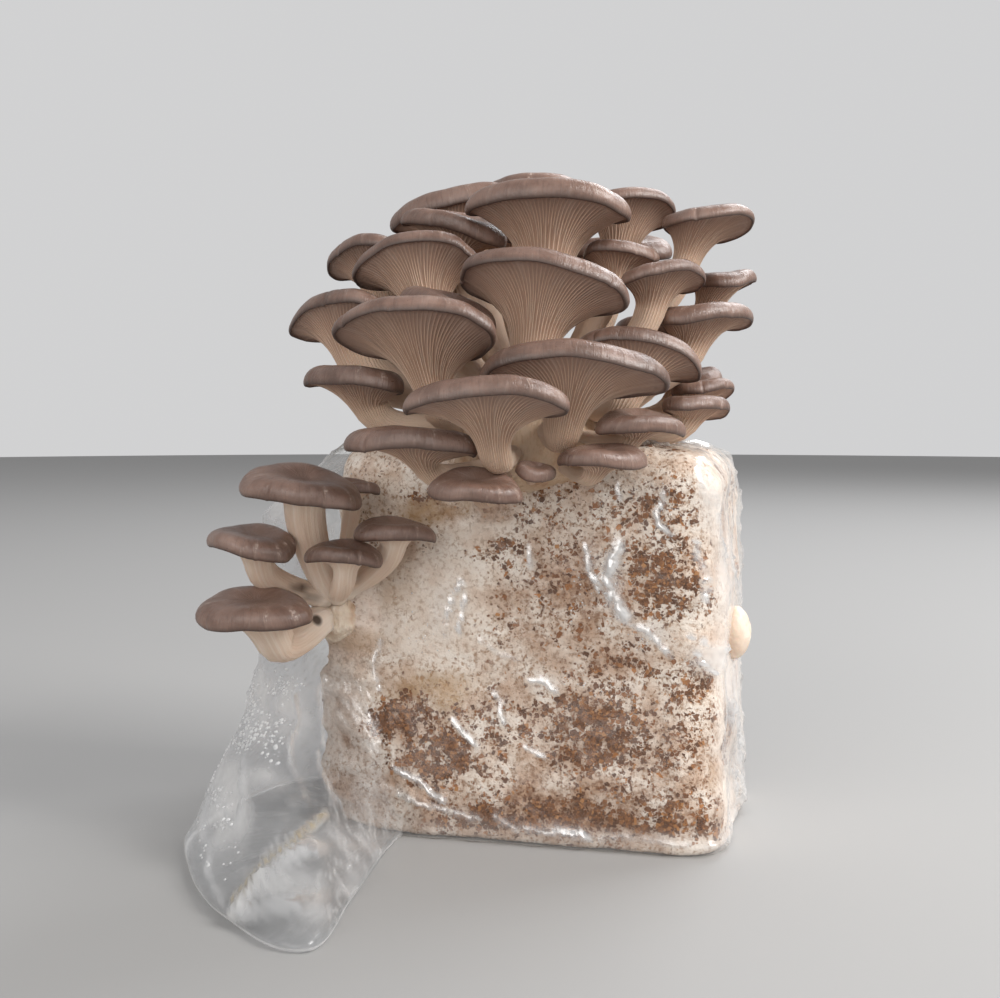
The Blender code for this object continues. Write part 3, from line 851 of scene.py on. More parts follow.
# the same for the loose tail
TAIL_FOLDS = (
    (4.0, 2.0, 0.1, 262, 640, 272, 672, 270, 700),
    (1.5, 2.2, 0.6, 299, 700, 294, 722, 291, 745, 292, 766),
    (2.2, 1.6, 0.2, 292, 766, 303, 784, 309, 802),
    (2.4, 2.2, 0.6, 254, 668, 251, 690, 262, 716, 250, 738),
    (1.8, 2.2, 0.5, 244, 760, 248, 780, 246, 800, 236, 828, 228, 822),
    (1.6, 1.6, 0.5, 210, 800, 224, 806, 230, 822),
    (1.6, 2.6, 0.3, 262, 864, 290, 842, 310, 829, 327, 815),
    (3.4, 3.2, 0.6, 232, 914, 262, 882, 290, 859, 316, 841, 345, 839, 386, 846),
    (3.6, 2.8, 0.45, 232, 913, 270, 905, 320, 893, 352, 889, 372, 886),
    (3.0, 2.0, 0.15, 255, 880, 285, 872, 300, 852),
    (1.5, 1.6, 0.35, 318, 750, 322, 766, 334, 788, 349, 812),
    (1.6, 1.4, 0.25, 326, 680, 320, 705, 322, 740),
    (5.0, 2.4, 0.05, 268, 790, 290, 800, 282, 830, 272, 848),
    (2.0, 1.4, 0.4, 215, 740, 206, 780, 204, 830, 207, 868, 222, 900),
    (2.4, 1.6, 0.3, 300, 430, 335, 440, 352, 452), (2.0, 1.6, 0.3, 365, 448, 352, 470, 366, 500),
)
# soft milky patches of the tail, as for the block, partly painted highlight
TAIL_MILK_AND_PAINTED_HIGHLIGHTS = (
    (228, 805, 20, 40, 0.42), (272, 786, 26, 14, 0.3), (262, 700, 12, 34, 0.36),
    (292, 705, 12, 24, 0.3), (345, 885, 44, 22, 0.26), (300, 880, 46, 14, 0.3),
    (300, 745, 12, 46, 0.3), (215, 760, 12, 30, 0.26), (290, 490, 26, 30, 0.3),
    (330, 450, 30, 14, 0.3),
)
# and of the film over the block, also partly painted highlight
FRONT_MILK_AND_PAINTED_HIGHLIGHTS = (
    (715, 657, 22, 15, 0.55), (732, 690, 9, 50, 0.45), (727, 575, 10, 50, 0.4),
    (716, 500, 11, 36, 0.34), (731, 800, 7, 40, 0.3), (614, 585, 9, 26, 0.34),
    (441, 610, 12, 26, 0.16), (655, 634, 16, 10, 0.18), (548, 684, 14, 8, 0.2),
    (590, 556, 7, 16, 0.16),
)
# the seam of dried residue across the tail
STAIN_LINE = (236, 900, 262, 868, 290, 848, 312, 828, 330, 812)


def line_distance(x, y, line):
    """The shortest distance from each place to a chain of points, given as x, y, x, y and so on."""
    nearest = np.full(x.shape, 1e9)
    points = np.reshape(line, (-1, 2)).astype(float)
    for (ax, ay), (bx, by) in zip(points, points[1:], strict=False):
        dx, dy = bx - ax, by - ay
        share = np.clip(((x - ax) * dx + (y - ay) * dy) / (dx * dx + dy * dy), 0.0, 1.0)
        nearest = np.minimum(nearest, np.hypot(x - ax - share * dx, y - ay - share * dy))
    return nearest


print("folds:", len(FRONT_FOLDS), "over the block,", len(TAIL_FOLDS), "in the tail")

# %% Where the film is loose, and where it folds
PIXELS_PER_MM = 2.07
film_across, film_along, film_high = film_places.T
past_block = block_half - np.abs(film_places - np.array((0.0, 0.0, BAG_SIZE[2] / 2.0))) + 3.0
loose = smooth_step(2.0, 14.0, np.linalg.norm(np.minimum(past_block, 0.0), axis=1))
clinging = 1.0 - loose
film_x, film_y = picture_place(film_places)
film_front = smooth_step(0.0, 0.3, film_out @ to_camera)
film_wobble = 2.4 * lumps(film_places, 4.0, 51)
broken = 0.30 + 0.70 * smooth_step(-0.35, 0.25, lumps(film_places, 3.0, 52))
tail_wobble = 5.0 * lumps(film_places, 16.0, 54)
tail_broken = 0.55 + 0.45 * smooth_step(-0.35, 0.25, lumps(film_places, 14.0, 55))
crease, haze_and_painted_highlight, shine = np.zeros((3, len(film_places)))
for folds_here, where, tall, wobble, gaps in (
    (FRONT_FOLDS, clinging, 1.5, film_wobble, broken),
    (TAIL_FOLDS, np.clip(loose * 1.6, 0.0, 1.0), 1.3, tail_wobble, tail_broken),
):
    where = film_front * where * gaps
    for half_width, height, milk_and_painted_highlight, *line in folds_here:
        away = line_distance(film_x + wobble, film_y + wobble, line) / PIXELS_PER_MM / half_width
        crease = np.maximum(crease, np.exp(-(away**1.2)) * where * height * tall)
        core = np.exp(-((away / 0.9) ** 2.4)) * where
        # fold cores turn milky: partly stretched film, partly painted highlight
        haze_and_painted_highlight = np.maximum(haze_and_painted_highlight, core * milk_and_painted_highlight)
        shine = np.maximum(shine, core * min(1.0, 2.0 * milk_and_painted_highlight))
wobble = 0.8 * film_wobble
stain = line_distance(film_x + wobble, film_y - wobble, STAIN_LINE) / PIXELS_PER_MM
stain = 0.8 * np.exp(-((stain / 1.9) ** 2.0)) * film_front * loose
stain = stain * (0.65 + 0.35 * smooth_step(-0.3, 0.3, lumps(film_places, 3.4, 53)))
print("highest crease:", round(float(crease.max()), 2), "mm")

# %% Cling to the block, billow in the tail
slow_waves = lumps(film_places, 30.0, 21, 0.45)
soft_folds = lumps(film_places, 13.0, 22, 0.5)
tight_folds = np.clip(1.0 - 3.0 * np.abs(lumps(film_places, 9.0, 23, 0.6)), 0.0, 1.0)
cling = 0.25 + bulge(film_places) + 0.55 * tight_folds**2 + 0.15 * lumps(film_places, 3.0, 24)
billow = 3.4 * slow_waves + 0.5 * soft_folds + 0.2 * tight_folds**3

# crumpled corners beside the tail, in front and behind
corner = np.zeros(len(film_places))
for amount, centre, reach, start, end, high, higher in (
    (0.6, -88.0, 13.0, -40.0, -58.0, 100.0, 125.0), (1.3, -104.0, 12.0, 22.0, 44.0, 170.0, 190.0),
):
    beside = np.exp(-(((film_across - centre) / reach) ** 2)) * smooth_step(start, end, film_along)
    corner = corner + amount * beside * smooth_step(higher, high, film_high)
crumpled = corner * (1.6 * lumps(film_places, 5.0, 27, 0.7) + 1.4 * tight_folds**2)

# a folded hem round the foot, and slanting wrinkles on the sides that the camera doesn't see
hem = smooth_step(16.0, 7.0, film_high) * clinging
hem_folds = np.clip(lumps(film_places * np.array((0.3, 0.3, 1.5)), 6.0, 25), 0.0, 1.0)
hidden = 1.0 - film_front
leaning = film_places @ np.array(((1.0, 0.0, 0.0), (0.0, 1.0, 0.0), (0.5, 0.5, 0.22)))
wrinkles = np.clip(1.0 - 7.0 * np.abs(lumps(leaning, 17.0, 28)), 0.0, 1.0) * hidden * clinging
wrinkles = wrinkles * smooth_step(-0.35, 0.1, lumps(film_places, 30.0, 29))
wrinkles = wrinkles * smooth_step(4.0, 14.0, film_high)
cling = cling + hidden * 1.2 * tight_folds**2 + 1.5 * wrinkles
wall = np.abs(film_out[:, :2]).max(axis=1)
skirt = smooth_step(7.0, 0.5, film_high) * clinging * wall
skirt = skirt * (0.5 + 1.6 * lumps(film_places, 9.0, 26, 0.3))
film_lift = cling * clinging + billow * loose + 1.6 * hem * hem_folds + crease + crumpled
film_lift = film_lift * smooth_step(0.5, 7.0, film_high) + skirt
film_now = settle(film_places + film_out * film_lift[:, None])
film_now[:, 2] = np.clip(film_now[:, 2], 0.0, None)
print("film stands out by up to", round(float(film_lift.max()), 1), "mm")

# %% Where the film is milky, and where highlights are painted as milk
right_end = smooth_step(92.0, 99.0, film_across)
wobble = 1.5 * film_wobble
front_milk_and_highlight = patch_cover(film_x + wobble, film_y + wobble, FRONT_MILK_AND_PAINTED_HIGHLIGHTS) * film_front
drift = 9.0 * soft_folds
tail_milk_and_highlight = film_front * patch_cover(film_x + drift, film_y - drift, TAIL_MILK_AND_PAINTED_HIGHLIGHTS)
rim_line = smooth_step(3.2, 1.2, film_high) * smooth_step(0.3, 0.8, wall)
off_block = smooth_step(-108.0, -92.0, film_across) * smooth_step(20.0, 45.0, film_high)
off_block = 1.0 - 0.75 * off_block
haze_and_painted_highlight = np.maximum(haze_and_painted_highlight, loose * off_block * (0.10 + 0.06 * slow_waves + tail_milk_and_highlight))
# a bright line along the tail's lower edge: painted highlight
haze_and_painted_highlight = np.maximum(haze_and_painted_highlight, loose * rim_line * 0.5)
haze_and_painted_highlight = haze_and_painted_highlight + 0.06 * loose * tight_folds**4 + 0.13 * right_end + hidden * 0.18 * tight_folds**3
haze_and_painted_highlight = np.maximum(haze_and_painted_highlight, clinging * front_milk_and_highlight * (0.75 + 0.5 * soft_folds))
# the milk on the hidden wrinkles is painted highlight
haze_and_painted_highlight = np.maximum(haze_and_painted_highlight, 0.3 * wrinkles**2)
shine = np.maximum(shine, 0.8 * wrinkles**2)
film_finish = {
    "haze_and_painted_highlight": np.clip(haze_and_painted_highlight + 0.10 * hem, 0.0, 1.0), "loose": loose, "shine": shine, "stain": stain,
    "dull": np.clip(1.6 * corner, 0.0, 1.0),
}
print("mean haze:", round(float(film_finish["haze_and_painted_highlight"].mean()), 3))

# %% Cut the slits, and give the film its thickness
MAIN_BASE = ((2.0, -50.0, 188.0), (36.0, 28.0, 15.0), (38.0, 32.0, 40.0))
SIDE_BASE = ((-94.0, -65.0, 110.0), (13.0, 10.0, 17.0), (15.0, 10.0, 18.0))
END_PIN = ((101.0, 2.0, 97.0), (9.0, 11.0, 12.0), (10.0, 11.0, 13.0))
SLIT_MARGIN = 1.04
FILM_THICKNESS = 0.12


def bulb_measure(places, bulb):
    """1 on a bulb's surface, less inside it and more outside."""
    centre, low, high = (np.array(part) for part in bulb)
    away = places - centre
    reach = np.where(away > 0.0, high, low)
    return np.sqrt(np.sum((away / reach) ** 2, axis=-1))


film_finish = {key: values.reshape(grid_shape) for key, values in film_finish.items()}
film = rolled_grid("clear_bag_film", film_now.reshape(*grid_shape, 3) * MM, film_finish)
film_measured = read_places(film) / MM
in_slit = np.zeros(len(film_measured), bool)
for bulb in (MAIN_BASE, SIDE_BASE, SIDE_SLIT, END_PIN):
    in_slit |= bulb_measure(film_measured, bulb) < SLIT_MARGIN
select_only(film)
bpy.context.tool_settings.mesh_select_mode = (True, False, False)
for parts in (film.data.polygons, film.data.edges):
    parts.foreach_set("select", np.zeros(len(parts), bool))
film.data.vertices.foreach_set("select", in_slit)
bpy.ops.object.mode_set(mode="EDIT")
bpy.ops.mesh.delete(type="VERT")
bpy.ops.object.mode_set(mode="OBJECT")
thickness = film.modifiers.new("film", "SOLIDIFY")
thickness.thickness = FILM_THICKNESS * MM
thickness.offset = -1.0
bpy.ops.object.modifier_apply(modifier=thickness.name)
print("film faces:", len(film.data.polygons))


# %% [markdown]
# ## Film finish
# Clear film shows mostly as its reflections.  The shader lets light straight through, adds a
# sharp reflection that grows at glancing angles, and mixes in a milky scatter where the film is
# loose, folded or fogged, and where highlights are painted.  The growth comes from Layer Weight's
# Facing, which treats both sides of the film alike.

# %% Film material
def film_material():
    paint = Paint("clear_film")
    output = paint.tree.nodes["Material Output"]
    paint.tree.nodes.remove(paint.shader)
    slack, stained = paint.attribute("loose"), paint.attribute("stain")
    crumple = paint.grain(70.0, 3.0, 0.5, 0.4)
    dimples = paint.grain(330.0, 2.0, 0.5)
    normal = paint.bump((crumple + dimples * 0.16) * (1.0 - slack * 0.6), 0.0018, 0.6)
    slant = paint.node("LayerWeight", {"Blend": 0.5, "Normal": normal}, "Facing")
    tint = paint.mix(slack, (0.985, 0.985, 0.98), (0.935, 0.94, 0.945))
    clear = paint.node("BsdfTransparent", {"Color": tint})
    # the milky scatter also carries the painted highlights
    milk_and_highlight_color = paint.mix(stained, (0.96, 0.955, 0.95), (0.56, 0.43, 0.20))
    milk_and_highlight_inputs = {"Color": milk_and_highlight_color, "Normal": normal}
    scatter = paint.node("BsdfDiffuse", milk_and_highlight_inputs)
    glow = paint.node("BsdfTranslucent", milk_and_highlight_inputs)
    milk_and_painted_highlight = paint.node("MixShader", {0: 0.3, 1: scatter, 2: glow})
    fog = paint.grain(38.0, 4.0, 0.6).ramp((0.3, 0.7), (0.7, 1.0))
    haze_and_painted_highlight = paint.attribute("haze_and_painted_highlight") * fog
    haze_and_painted_highlight = paint.maths("MULTIPLY", haze_and_painted_highlight, slant**4.0 * 0.8 + 1.0, clamp=True)
    haze_and_painted_highlight = paint.maths("MAXIMUM", haze_and_painted_highlight, stained * 0.8)
    body = paint.node("MixShader", {0: haze_and_painted_highlight, 1: clear, 2: milk_and_painted_highlight})
    gloss_inputs = {"Color": (1.0, 1.0, 1.0), "Roughness": 0.2, "Normal": normal}
    gloss = paint.node("BsdfAnisotropic", gloss_inputs)
    mirror = slant**5.0 * 0.45 + 0.02 + paint.attribute("shine") * 0.45
    mirror = mirror * (1.0 - paint.attribute("dull") * 0.7)
    surface = paint.node("MixShader", {0: mirror, 1: body, 2: gloss})
    paint.put(output.inputs["Surface"], surface)
    return paint.material


clear_film = film_material()
finish_piece(film, clear_film, "clear_film", "grow_bag")
print("film nodes:", len(clear_film.node_tree.nodes))

# %% [markdown]
# ## The fused feet and the pin
# The stems of each cluster grow out of one knot of tissue that fills the slit.  It is lumpy and
# creamy, with brown specks of sawdust.  The large cluster's knot is darkened all over as painted
# shade under its caps.  A sphere is stretched over the solid's place, and its surface is pushed
# out into knuckles.  The pin at the right-hand end is a young mushroom that has only just pushed
# through, so it is nearly smooth.


# %% Knots and pin
def knot(name, centre, low, high, lump_size, lump_height):
    """A lumpy bulb with its own half axes on each side of its centre."""
    bpy.ops.object.select_all(action="DESELECT")
    bpy.ops.mesh.primitive_uv_sphere_add(segments=144, ring_count=80, radius=1.0)
    piece = bpy.context.object
    piece.name = name
    ball = read_places(piece)
    reach = np.where(ball > 0.0, np.array(high), np.array(low))
    places = np.array(centre) + ball * reach
    swell = 0.8 * lumps(places, lump_size, 31) + 0.45 * np.abs(lumps(places, lump_size * 0.4, 32))
    swell = swell + 0.12 * lumps(places, lump_size * 0.15, 33)
    write_places(piece, (places + unit(ball / reach) * (swell * lump_height)[:, None]) * MM)
    in_edit_mode(piece, face_outwards)
    return piece


main_knot = knot("main_cluster_foot", *MAIN_BASE, 11.0, 2.6)
side_knot = knot(
    "side_cluster_foot", (-94.0, -64.0, 109.0), (12.0, 8.0, 14.0), (11.0, 9.0, 13.0), 7.0, 2.0,
)
end_pin = knot("right_end_young_pin", END_PIN[0], (9.0, 11.0, 13.0), (8.0, 11.0, 14.5), 12.0, 0.9)
print("knots:", main_knot.name, side_knot.name, end_pin.name)


# %% Tissue of the feet and the pin
def soft_tissue(weight, scale, radius=(1.0, 0.5, 0.3)):
    """Light that scatters under the skin."""
    return {"Subsurface Weight": weight, "Subsurface Radius": radius, "Subsurface Scale": scale}


def foot_material(name, tint):
    paint = Paint(name)
    soft = paint.grain(75.0, 4.0, 0.6)
    color = soft.ramp(
        (0.26, (0.38, 0.22, 0.12)), (0.38, (0.66, 0.50, 0.37)), (0.55, (0.82, 0.72, 0.60)),
        (0.75, (0.88, 0.81, 0.72)),
    )
    ragged = paint.shaken(500.0, 0.002)
    specks = paint.node("TexVoronoi", {"Vector": ragged, "Scale": 190.0}, "Color")
    tone = paint.node("SeparateColor", {"Color": specks}, "Red")
    speck_mask = specks.twin("Distance").fade(0.34, 0.22) * tone.fade(0.80, 0.86)
    color = paint.mix(speck_mask, color, (0.20, 0.10, 0.045))
    fibres = paint.grain(900.0, 3.0, place=paint.stretched(paint.place, (1.0, 1.0, 0.2)))
    color = paint.mix(fibres.fade(0.5, 0.8) * 0.5, color, (0.56, 0.42, 0.31))
    return paint.finish({
        "Base Color": paint.mix(1.0, color, tint, "MULTIPLY"),
        "Normal": paint.bump(fibres + soft, 0.0012, 0.7),
        "Roughness": 0.75, **soft_tissue(0.12, 0.003),
    })


def pin_material():
    paint = Paint("young_pin_skin")
    color = paint.grain(90.0, 3.0, 0.55).ramp(
        (0.3, (0.74, 0.55, 0.42)), (0.55, (0.84, 0.69, 0.56)), (0.75, (0.88, 0.79, 0.69)),
    )
    return paint.finish({
        "Base Color": color, "Normal": paint.bump(paint.grain(900.0), 0.0004, 0.5),
        "Roughness": 0.5, **soft_tissue(0.2, 0.004),
    })


# the large cluster's foot is darkened all over: painted shade under its caps
main_tissue = foot_material("stem_tissue_painted_shade", (0.72, 0.60, 0.50))
side_tissue = foot_material("pale_stem_tissue", (1.0, 0.97, 0.94))
finish_piece(main_knot, main_tissue, "fused_base", "main_cluster_base")
finish_piece(side_knot, side_tissue, "fused_base", "side_cluster_base")
finish_piece(end_pin, pin_material(), "young_pin", "right_end_pin")
print("feet and pin finished")

# %% [markdown]
# ## The mushrooms
# An oyster mushroom widens from a stem into a lopsided funnel.  Gills run down the underside and
# onto the stem, the rim is rolled under, and the cap is a low dome with a dip over the stem.
# Each mushroom starts as one flat grid.  Its columns become directions round the cap and its
# rows run from foot to crown, so a formula rolls it into shape: the same curves as the solid,
# with far more rows.  The gills are then carved along the columns.  Every second gill is a short
# one that starts part of the way up, as on the real cap.

# %% The mushrooms' places, as in the solids
# name, centre of the rim (x, y, z), width, depth, facing, tilt, roll, funnel depth
MAIN_MUSHROOMS = (
    ("top_back", (-19, 48, 334), 57, 42, 170, 4, 0, 24),
    ("top_left_back", (-54, 9, 317), 78, 38, -15, 5, -10, 24),
    ("top_left", (-40, -34, 303), 57, 28, 0, -8, 14, 13),
    ("top_centre", (12, -43, 310), 83, 46, 12, 4, 3, 28),
    ("top_right_back", (41, 19, 316), 52, 40, 35, 16, 5, 24),
    ("top_right", (84, 7, 306), 45, 48, 70, 6, 8, 20),
    ("upper_left_back", (-90, -24, 289), 58, 38, -38, 14, -10, 20),
    ("upper_left", (-53, -57, 283), 66, 38, -5, 30, -9, 22),
    ("upper_right_inner", (44, -21, 289), 39, 25, 25, 6, 4, 12),
    ("upper_right", (67, -31, 275), 45, 35, 45, 11, 2, 14),
    ("far_right", (89, 45, 279), 44, 36, 95, 5, 0, 18),
    ("centre", (17, -83, 268), 81, 44, 15, 30, 10, 27),
    ("centre_tucked", (-28, -86, 258), 50, 26, -4, -6, 22, 11),
    ("left_back", (-96, -49, 256), 72, 38, -32, 22, -8, 20),
    ("left", (-37, -109, 245), 78, 48, 0, 30, 0, 28),
    ("right_back", (85, -7, 256), 56, 38, 50, 4, 0, 15),
    ("right", (59, -52, 236), 65, 34, 30, 22, 14, 19),
    ("front_right", (37, -103, 225), 87, 44, 18, 26, 2, 21),
    ("front", (6, -137, 213), 73, 36, 10, 12, 0, 21),
    ("lower_left_back", (-78, -80, 223), 64, 34, -28, 6, 3, 12),
    ("lower_right_back", (83, 0, 220), 36, 32, 70, 8, 6, 8),
    ("lower_right_outer", (84, -34, 211), 41, 28, 60, 8, 6, 5),
    ("lower_left", (-36, -116, 194), 64, 34, -2, 0, 2, 12),
    ("lowest_front", (-4, -119, 175), 43, 28, 10, -20, 5, 7),
    ("button_front", (19, -103, 183), 19, 14, 20, -22, 8, 5),
    ("lower_right_front", (49, -94, 188), 42, 24, 25, -10, 0, 7),
    ("lower_right", (64, -77, 203), 45, 26, 35, -11, 2, 6),
    ("back_top_left", (-76, 41, 290), 64, 46, -130, 6, 0, 22),
    ("back_top_middle", (-42, 63, 307), 46, 40, -165, 6, 0, 20),
    ("back_top_right", (23, 66, 299), 72, 48, 168, 8, 0, 24),
    ("back_left", (-93, 11, 255), 60, 44, -100, 5, 0, 20),
    ("back_middle_left", (-37, 64, 259), 70, 46, -160, 8, 0, 22),
    ("back_middle_right", (54, 70, 257), 62, 44, 155, 8, 0, 22),
    ("back_lower_left", (-68, 38, 228), 52, 34, -125, 4, 0, 12),
    ("back_lower_middle", (1, 56, 230), 54, 36, 180, 5, 0, 12),
    ("back_lower_right", (73, 32, 226), 48, 30, 125, 4, 0, 10),
)
SIDE_MUSHROOMS = (
    ("top", (-96, -103, 172), 60, 42, 5, -13, 10, 7),
    ("top_back", (-80, -75, 172), 26, 16, 20, -8, 4, 5),
    ("upper_left", (-121, -107, 146), 46, 34, -10, -9, 9, 11),
    ("middle", (-75, -101, 141), 38, 26, 10, -8, 4, 8),
    ("right", (-55, -84, 151), 40, 24, 20, -10, 4, 6),
    ("lowest", (-117, -111, 113), 60, 40, -5, -15, 1, 18),
)
# stem and root radius as shares of the cap's width, how far the funnel leans towards the foot,
# how flat the gills start, how boxy the cap's edge is, how far stem skin covers the gills' start
MAIN_HABIT = (0.13, 0.05, 1.1, 0.68, 6.5, 0.0)
FRONT_HABIT = (0.10, 0.042, 1.1, 0.68, 6.5, 0.0)
BACK_HABIT = (0.165, 0.085, 1.1, 0.68, 6.5, 0.0)
SIDE_HABIT = (0.16, 0.13, 0.45, 0.95, 6.5, 0.75)
FRONT_BEFORE, BACK_BEHIND = -100.0, -60.0
LEAST_ROOT_RADIUS = 2.8
STEM_SETBACK = 0.25
ROOT_LIFT = 18.0
ROOT_LIFT_OVER = 20.0
ROOT_HANDLE = 0.35
NECK_HANDLE = 0.3
CAP_THICKNESS = 3.0
CAP_THICKNESS_SHARE = 0.125
CAP_EDGE_HEIGHT = 0.27
WAVE_SIDE = 0.03
WAVE_UP = 1.2
print("mushrooms:", len(MAIN_MUSHROOMS), "in the large cluster,", len(SIDE_MUSHROOMS), "beside it")


# %% Axes, as in the solids
def bulb_surface(bulb, target):
    """Where a stem leaves its cluster's foot, and the way out there."""
    centre, low, high = (np.array(part) for part in bulb)
    way = target - centre
    way = unit(way + UP * ROOT_LIFT * float(np.clip(way[2] / ROOT_LIFT_OVER, 0.0, 1.0)))
    reach = np.where(way > 0.0, high, low)
    radius = 1.0 / math.sqrt(float(np.sum((way / reach) ** 2)))
    return centre + way * radius, unit(way / reach**2)


def cap_axes(facing, tilt, roll):
    """A cap's side, outward and normal directions."""
    turn, lift, lean = (math.radians(a) for a in (facing, tilt, roll))
    out_flat = np.array((math.sin(turn), -math.cos(turn), 0.0))
    side_flat = np.array((math.cos(turn), math.sin(turn), 0.0))
    outward = out_flat * math.cos(lift) + UP * math.sin(lift)
    normal = UP * math.cos(lift) - out_flat * math.sin(lift)
    side = side_flat * math.cos(lean) - normal * math.sin(lean)
    normal = normal * math.cos(lean) + side_flat * math.sin(lean)
    return side, outward, normal


print("a level cap's axes:", cap_axes(0.0, 0.0, 0.0))

# %% Rows along a mushroom
# a row's number is 0 at the root, 1 where the stem ends, 1.94 where the gills end, 2.06 at the
# cap's edge and 3 at its crown
GILLS_END = 1.94
CAP_EDGE = 2.06
CROWN = 3.0
STEM_ROWS = 11
GILL_ROWS = 16
LIP_ROWS = 5
DOME_ROWS = 12
GILL_SPACING = 2.0
COLUMNS_PER_GILL = 3
ROOT_SINK = 3.5
INNER_LIP = 0.935
INNER_LIP_HEIGHT = 0.13
ARCH = 0.045
CROWN_DIP = 0.28


def rim_form(spec, angles, seed):
    """How a cap's outline swells, how its edge rises and falls, and where it is nicked."""
    name, centre, width = spec[:3]
    phase = len(name) + 0.1 * centre[0]
    extra = random.Random(seed)
    size = min(1.0, width / 70.0)
    swell = WAVE_SIDE * np.sin(3.0 * angles + phase)
    for height, waves in ((0.010, 7.0), (0.004, 13.0)):
        swell = swell + height * np.sin(waves * angles + extra.uniform(0, 6.3))
    rise = WAVE_UP * np.sin(2.0 * angles + phase) + ARCH * width * (0.5 - np.cos(angles) ** 2)
    for height, waves in ((0.40, 5.0), (0.12, 11.0)):
        rise = rise + height * size * np.sin(waves * angles + extra.uniform(0, 6.3))
    nick = np.zeros_like(angles)
    for _ in range(3):
        away = np.angle(np.exp(1j * (angles - extra.uniform(0.0, 2.0 * math.pi))))
        deep, wide = extra.uniform(0.008, 0.035), extra.uniform(0.03, 0.06)
        nick = nick + deep * np.exp(-((away / wide) ** 2))
    return swell, rise, nick


def mushroom_places(spec, bulb, habit, angles, seed):
    """The smooth surface of one mushroom, row by row, in mm, and how far along it each row is."""
    centre, width, depth, facing, tilt, roll, funnel = (np.array(spec[1]), *spec[2:])
    stem_share, root_share, lean, flatness, dome_power = habit[:5]
    side, outward, normal = cap_axes(facing, tilt, roll)
    thick = CAP_THICKNESS + CAP_THICKNESS_SHARE * width
    down = unit(unit(np.array(bulb[0]) - centre) * lean - normal)
    neck = centre - outward * (STEM_SETBACK * depth / 2.0) + down * funnel
    root, out = bulb_surface(bulb, neck)
    root = root - out * ROOT_SINK
    length = np.linalg.norm(neck - root)
    leave = root + out * (ROOT_HANDLE * length)
    reach = neck + down * (NECK_HANDLE * length)
    root_radius = max(LEAST_ROOT_RADIUS, root_share * width)
    cos, sin = np.cos(angles)[:, None], np.sin(angles)[:, None]
    swell, rise, nick = rim_form(spec, angles, seed)

    def cap_ring(share, height):
        stretch = share * (1.0 + swell * share**2 - nick * share**8)
        flat_way = side * cos * (width / 2.0) + outward * sin * (depth / 2.0)
        lift = height * thick + (rise - nick * 20.0 * share**6) * share**2
        return centre + flat_way * stretch[:, None] + normal * lift[:, None]

    rows = [np.repeat(root[None], len(angles), axis=0)]
    run = [0.0]
    for t in np.linspace(0.0, 1.0, STEM_ROWS):
        s = 1.0 - t
        point = root * s**3 + leave * 3 * s * s * t + reach * 3 * s * t * t + neck * t**3
        along = unit((leave - root) * s * s + (reach - leave) * 2 * s * t + (neck - reach) * t * t)
        first = unit(side - along * np.dot(side, along))
        second = np.cross(first, along)
        radius = root_radius * s + stem_share * width * t + 0.5 * math.sin(9.0 * t + seed) * s
        knuckle = 1.0 + 0.05 * np.sin(2.0 * angles + seed + 3.0 * t)
        knuckle = knuckle + 0.02 * np.sin(5.0 * angles + seed)
        rows.append(point + (first * cos + second * sin) * (radius * knuckle)[:, None])
        run.append(t)
    low_ring = rows[-1]
    high_ring = cap_ring(INNER_LIP, INNER_LIP_HEIGHT)
    drop = np.maximum(0.0, (low_ring - high_ring) @ down)
    middle_ring = low_ring - down * (flatness * drop)[:, None]
    for t in np.linspace(0.0, 1.0, GILL_ROWS + 1)[1:]:
        rows.append(low_ring * (1 - t) ** 2 + middle_ring * 2 * t * (1 - t) + high_ring * t * t)
        run.append(1.0 + t * (GILLS_END - 1.0))
    for t in np.linspace(0.0, 1.0, LIP_ROWS + 1)[1:]:
        share = (INNER_LIP + 1.0) / 2.0 - (1.0 - INNER_LIP) / 2.0 * math.cos(math.pi * t)
        base = INNER_LIP_HEIGHT + (CAP_EDGE_HEIGHT - INNER_LIP_HEIGHT) * t
        rows.append(cap_ring(share, base - 0.17 * math.sin(math.pi * t)))
        run.append(GILLS_END + (CAP_EDGE - GILLS_END) * t)
    setback = outward * (STEM_SETBACK * depth / 4.0)
    for t in np.linspace(0.0, 1.0, DOME_ROWS + 1)[1:]:
        share = 1.0 - t**1.8
        dome = max(0.0, 1.0 - share**dome_power) ** 0.55
        dip = CROWN_DIP * math.exp(-((share / 0.38) ** 2))
        height = CAP_EDGE_HEIGHT + (1.0 - CAP_EDGE_HEIGHT) * dome - dip
        rows.append(cap_ring(share, height) - setback * (1.0 - share))
        run.append(CAP_EDGE + (CROWN - CAP_EDGE) * t)
    return np.array(rows), np.array(run)


print("rows in a mushroom:", 1 + STEM_ROWS + GILL_ROWS + LIP_ROWS + DOME_ROWS)


# %% Carve the gills
def gill_ridges(angles, run, gills, seed):
    """1 on each gill's crest and 0 between, and the swaying angle that the gills follow."""
    extra = random.Random(seed + 100)
    starts = np.array([extra.uniform(1.15, 1.5) for _ in range(gills)])
    sway = 0.32 * np.sin(2.1 * run[:, None] + 3.0 * angles + seed)
    sway = sway + 0.15 * np.sin(5.0 * run[:, None] + 7.0 * angles)
    phase = angles * gills / (2.0 * math.pi) + sway
    long_ones = (0.5 + 0.5 * np.cos(math.pi * phase)) ** 3
    short_ones = (0.5 + 0.5 * np.cos(math.pi * (phase - 1.0))) ** 3
    which = np.rint(phase).astype(int) % gills
    short_ones = short_ones * smooth_step(0.0, 0.22, run[:, None] - starts[which])
    return np.maximum(long_ones, short_ones), phase * 2.0 * math.pi / gills


